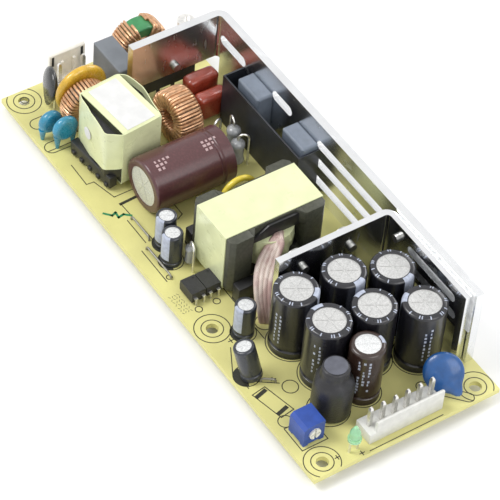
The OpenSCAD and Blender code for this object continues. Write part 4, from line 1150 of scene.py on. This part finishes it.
class SUPPLY_OT_output_parts(Maker, bpy.types.Operator):
    """Rod choke, trimmer, indicator and blue disc"""
    bl_idname = "supply.output_parts"
    bl_label = "Output parts"

    def build(self, scene):
        tall = high("rod_choke").z - TOP + 0.9
        profile = [(0, 0), (4.7, 0), (5.3, 0.5), (5.5, 1.6), (5.55, 6.0), (5.6, 0.60 * tall),
                   (5.45, 0.68 * tall), (5.0, 0.74 * tall), (4.3, 0.78 * tall), (4.0, 0.81 * tall),
                   (3.9, 0.86 * tall), (3.9, tall - 0.7), (3.7, tall - 0.25), (3.2, tall), (0, tall - 0.1)]
        centre = middle("rod_choke") + Vector((0.3, 0.4, 0))
        body = lathe(profile, Matrix.Translation((centre.x, centre.y, TOP)), 48)
        shrink = mottled("heat shrink", (0.018, 0.018, 0.021), 0.40, 0.25, 3, 0.10)
        crumple(body, amount=0.3, size=4.5, seed=5)
        piece("rod_choke_body", body, shrink, ("rod_choke",), 60)
        rod = lathe([(0, 0), (3.0, 0), (3.15, 0.12), (3.15, 0.22), (0, 0.22)],
                    Matrix.Translation((centre.x, centre.y, TOP + tall - 0.12)), 40)
        ash = mottled("rod end", (0.10, 0.105, 0.13), 0.35, 0.15, 2, 0.02)
        piece("rod_choke_end", rod, ash)
        drop = teardrop(Vector((72.0, 16.2, 11.0)), Vector((75.8, 19.9, 4.1)), across=(0.61, 0.79),
                        radius=5.6, half=1.9, lean=38)
        piece("blue_disc_body", drop, dipped("blue dip", (0.007, 0.075, 0.25), 0.36),
              ("blue_disc_capacitor",), 60)
        wear(mottled("trimmer blue", (0.03, 0.08, 0.36), 0.4, 0.1, 2, 0.01), "trimmer_body")
        wear(mottled("white screw", (0.80, 0.80, 0.78), 0.4, 0.06, 1), "trimmer_screw")
        wear(clear_resin("green lens", (0.50, 0.86, 0.56), 0.5), "indicator_led")
        wear(tinned(scene), "led_leads")


class SUPPLY_OT_small_parts(Maker, bpy.types.Operator):
    """Axial parts, jumpers and the optocouplers' leads"""
    bl_idname = "supply.small_parts"
    bl_label = "Small parts"

    def build(self, scene):
        wear(tinned(scene), "axial_leads", "optocoupler_pins")
        wear(mottled("dull wire", (0.30, 0.29, 0.25), 0.45, 0.15, 0.8, 0.01, metal=0.6), "jumper_wires")
        # each point as shares of the radius and of the length
        outline = ((0, 0), (0.5, 0.05), (0.92, 0.10), (1, 0.2), (0.88, 0.32), (0.86, 0.68), (1, 0.80),
                   (0.92, 0.90), (0.5, 0.96), (0, 1))
        work = bmesh.new()
        for corners in loose_parts("axial_parts"):
            radius = (corners[1].x - corners[0].x) / 2
            height = corners[1].z - corners[0].z
            merge(work, lathe([(x * radius, z * height) for x, z in outline], stand(corners), 32))
        grey = dipped("grey glass", (0.30, 0.31, 0.32), 0.22)
        piece("axial_bodies", work, grey, ("axial_parts",), 70)


class SUPPLY_OT_stage(Maker, bpy.types.Operator):
    """Floor, lamps and camera"""
    bl_idname = "supply.stage"
    bl_label = "Stage"

    def build(self, scene):
        look = scene.supply_stage
        self.floor()
        self.lamps(scene)
        self.camera(scene, look)
        scene.view_settings.view_transform = "Standard"

    def floor(self):
        shade = Shade("pale floor", (0.9, 0.9, 0.9), 0.9)
        mesh = bpy.data.meshes.new("floor")
        work = bmesh.new()
        bmesh.ops.create_grid(work, x_segments=1, y_segments=1, size=4)
        work.to_mesh(mesh)
        work.free()
        mesh.materials.append(shade.material)
        floor = bpy.data.objects.new("floor", mesh)
        bpy.context.scene.collection.objects.link(floor)

    def lamps(self, scene):
        world = bpy.data.worlds.new("studio")
        world.use_nodes = True
        scene.world = world
        tree = world.node_tree
        back = tree.nodes["Background"]
        path = tree.nodes.new("ShaderNodeLightPath")
        seen = tree.nodes.new("ShaderNodeMath")
        seen.operation = "MAXIMUM"
        tree.links.new(path.outputs["Is Camera Ray"], seen.inputs[0])
        tree.links.new(path.outputs["Is Glossy Ray"], seen.inputs[1])
        level = tree.nodes.new("ShaderNodeMapRange")
        level.inputs["To Min"].default_value = 0.55
        level.inputs["To Max"].default_value = 1.0
        tree.links.new(seen.outputs[0], level.inputs[0])
        tree.links.new(level.outputs[0], back.inputs["Strength"])
        back.inputs["Color"].default_value = (1, 1, 1, 1)
        for name, spot, power, size in (("key lamp", (-0.35, -0.55, 0.9), 7.5, 0.5),
                                        ("fill lamp", (0.8, 0.1, 0.7), 4, 0.7),
                                        ("rim lamp", (-0.2, 0.9, 0.6), 4, 0.5)):
            light = bpy.data.lights.new(name, "AREA")
            light.energy = power
            light.size = size
            lamp = bpy.data.objects.new(name, light)
            lamp.location = spot
            lamp.rotation_euler = Vector(spot).to_track_quat("Z", "Y").to_euler()
            scene.collection.objects.link(lamp)

    def camera(self, scene, look):
        a = math.radians(look.azimuth)
        e = math.radians(look.elevation)
        t = math.radians(look.roll)
        ahead = Vector((-math.sin(a) * math.cos(e), math.cos(a) * math.cos(e), -math.sin(e)))
        level = Vector((math.cos(a), math.sin(a), 0))
        down = ahead.cross(level)
        right = level * math.cos(t) + down * math.sin(t)
        up = level * math.sin(t) - down * math.cos(t)
        data = bpy.data.cameras.new("camera")
        data.lens = look.lens
        data.clip_end = 20
        camera = bpy.data.objects.new("camera", data)
        turn = Matrix((right, up, -ahead)).transposed().to_4x4()
        camera.matrix_world = Matrix.Translation(look.place) @ turn
        scene.collection.objects.link(camera)
        scene.camera = camera


class SUPPLY_PT_panel(bpy.types.Panel):
    """Lists the steps in order"""
    bl_label = "Open frame supply"
    bl_idname = "SUPPLY_PT_panel"
    bl_space_type = "VIEW_3D"
    bl_region_type = "UI"
    bl_category = "Supply"

    def draw(self, context):
        for maker in MAKERS:
            self.layout.operator(maker.bl_idname)


GROUPS = {"supply_board": SupplyBoard, "supply_metal": SupplyMetal, "supply_wound": SupplyWound,
          "supply_stage": SupplyStage}
MAKERS = (SUPPLY_OT_board, SUPPLY_OT_heatsinks, SUPPLY_OT_devices, SUPPLY_OT_connectors,
          SUPPLY_OT_input_parts, SUPPLY_OT_ring_chokes, SUPPLY_OT_inductor, SUPPLY_OT_transformer,
          SUPPLY_OT_capacitors, SUPPLY_OT_output_parts, SUPPLY_OT_small_parts, SUPPLY_OT_stage)


def register():
    for name, group in GROUPS.items():
        bpy.utils.register_class(group)
        setattr(bpy.types.Scene, name, PointerProperty(type=group))
    for made in (*MAKERS, SUPPLY_PT_panel):
        bpy.utils.register_class(made)


def unregister():
    for made in (SUPPLY_PT_panel, *MAKERS):
        bpy.utils.unregister_class(made)
    for name, group in GROUPS.items():
        delattr(bpy.types.Scene, name)
        bpy.utils.unregister_class(group)


def main():
    register()
    for maker in MAKERS:
        section, step = maker.bl_idname.split(".")
        getattr(getattr(bpy.ops, section), step)()
    bpy.context.view_layer.update()


if __name__ == "__main__":
    main()
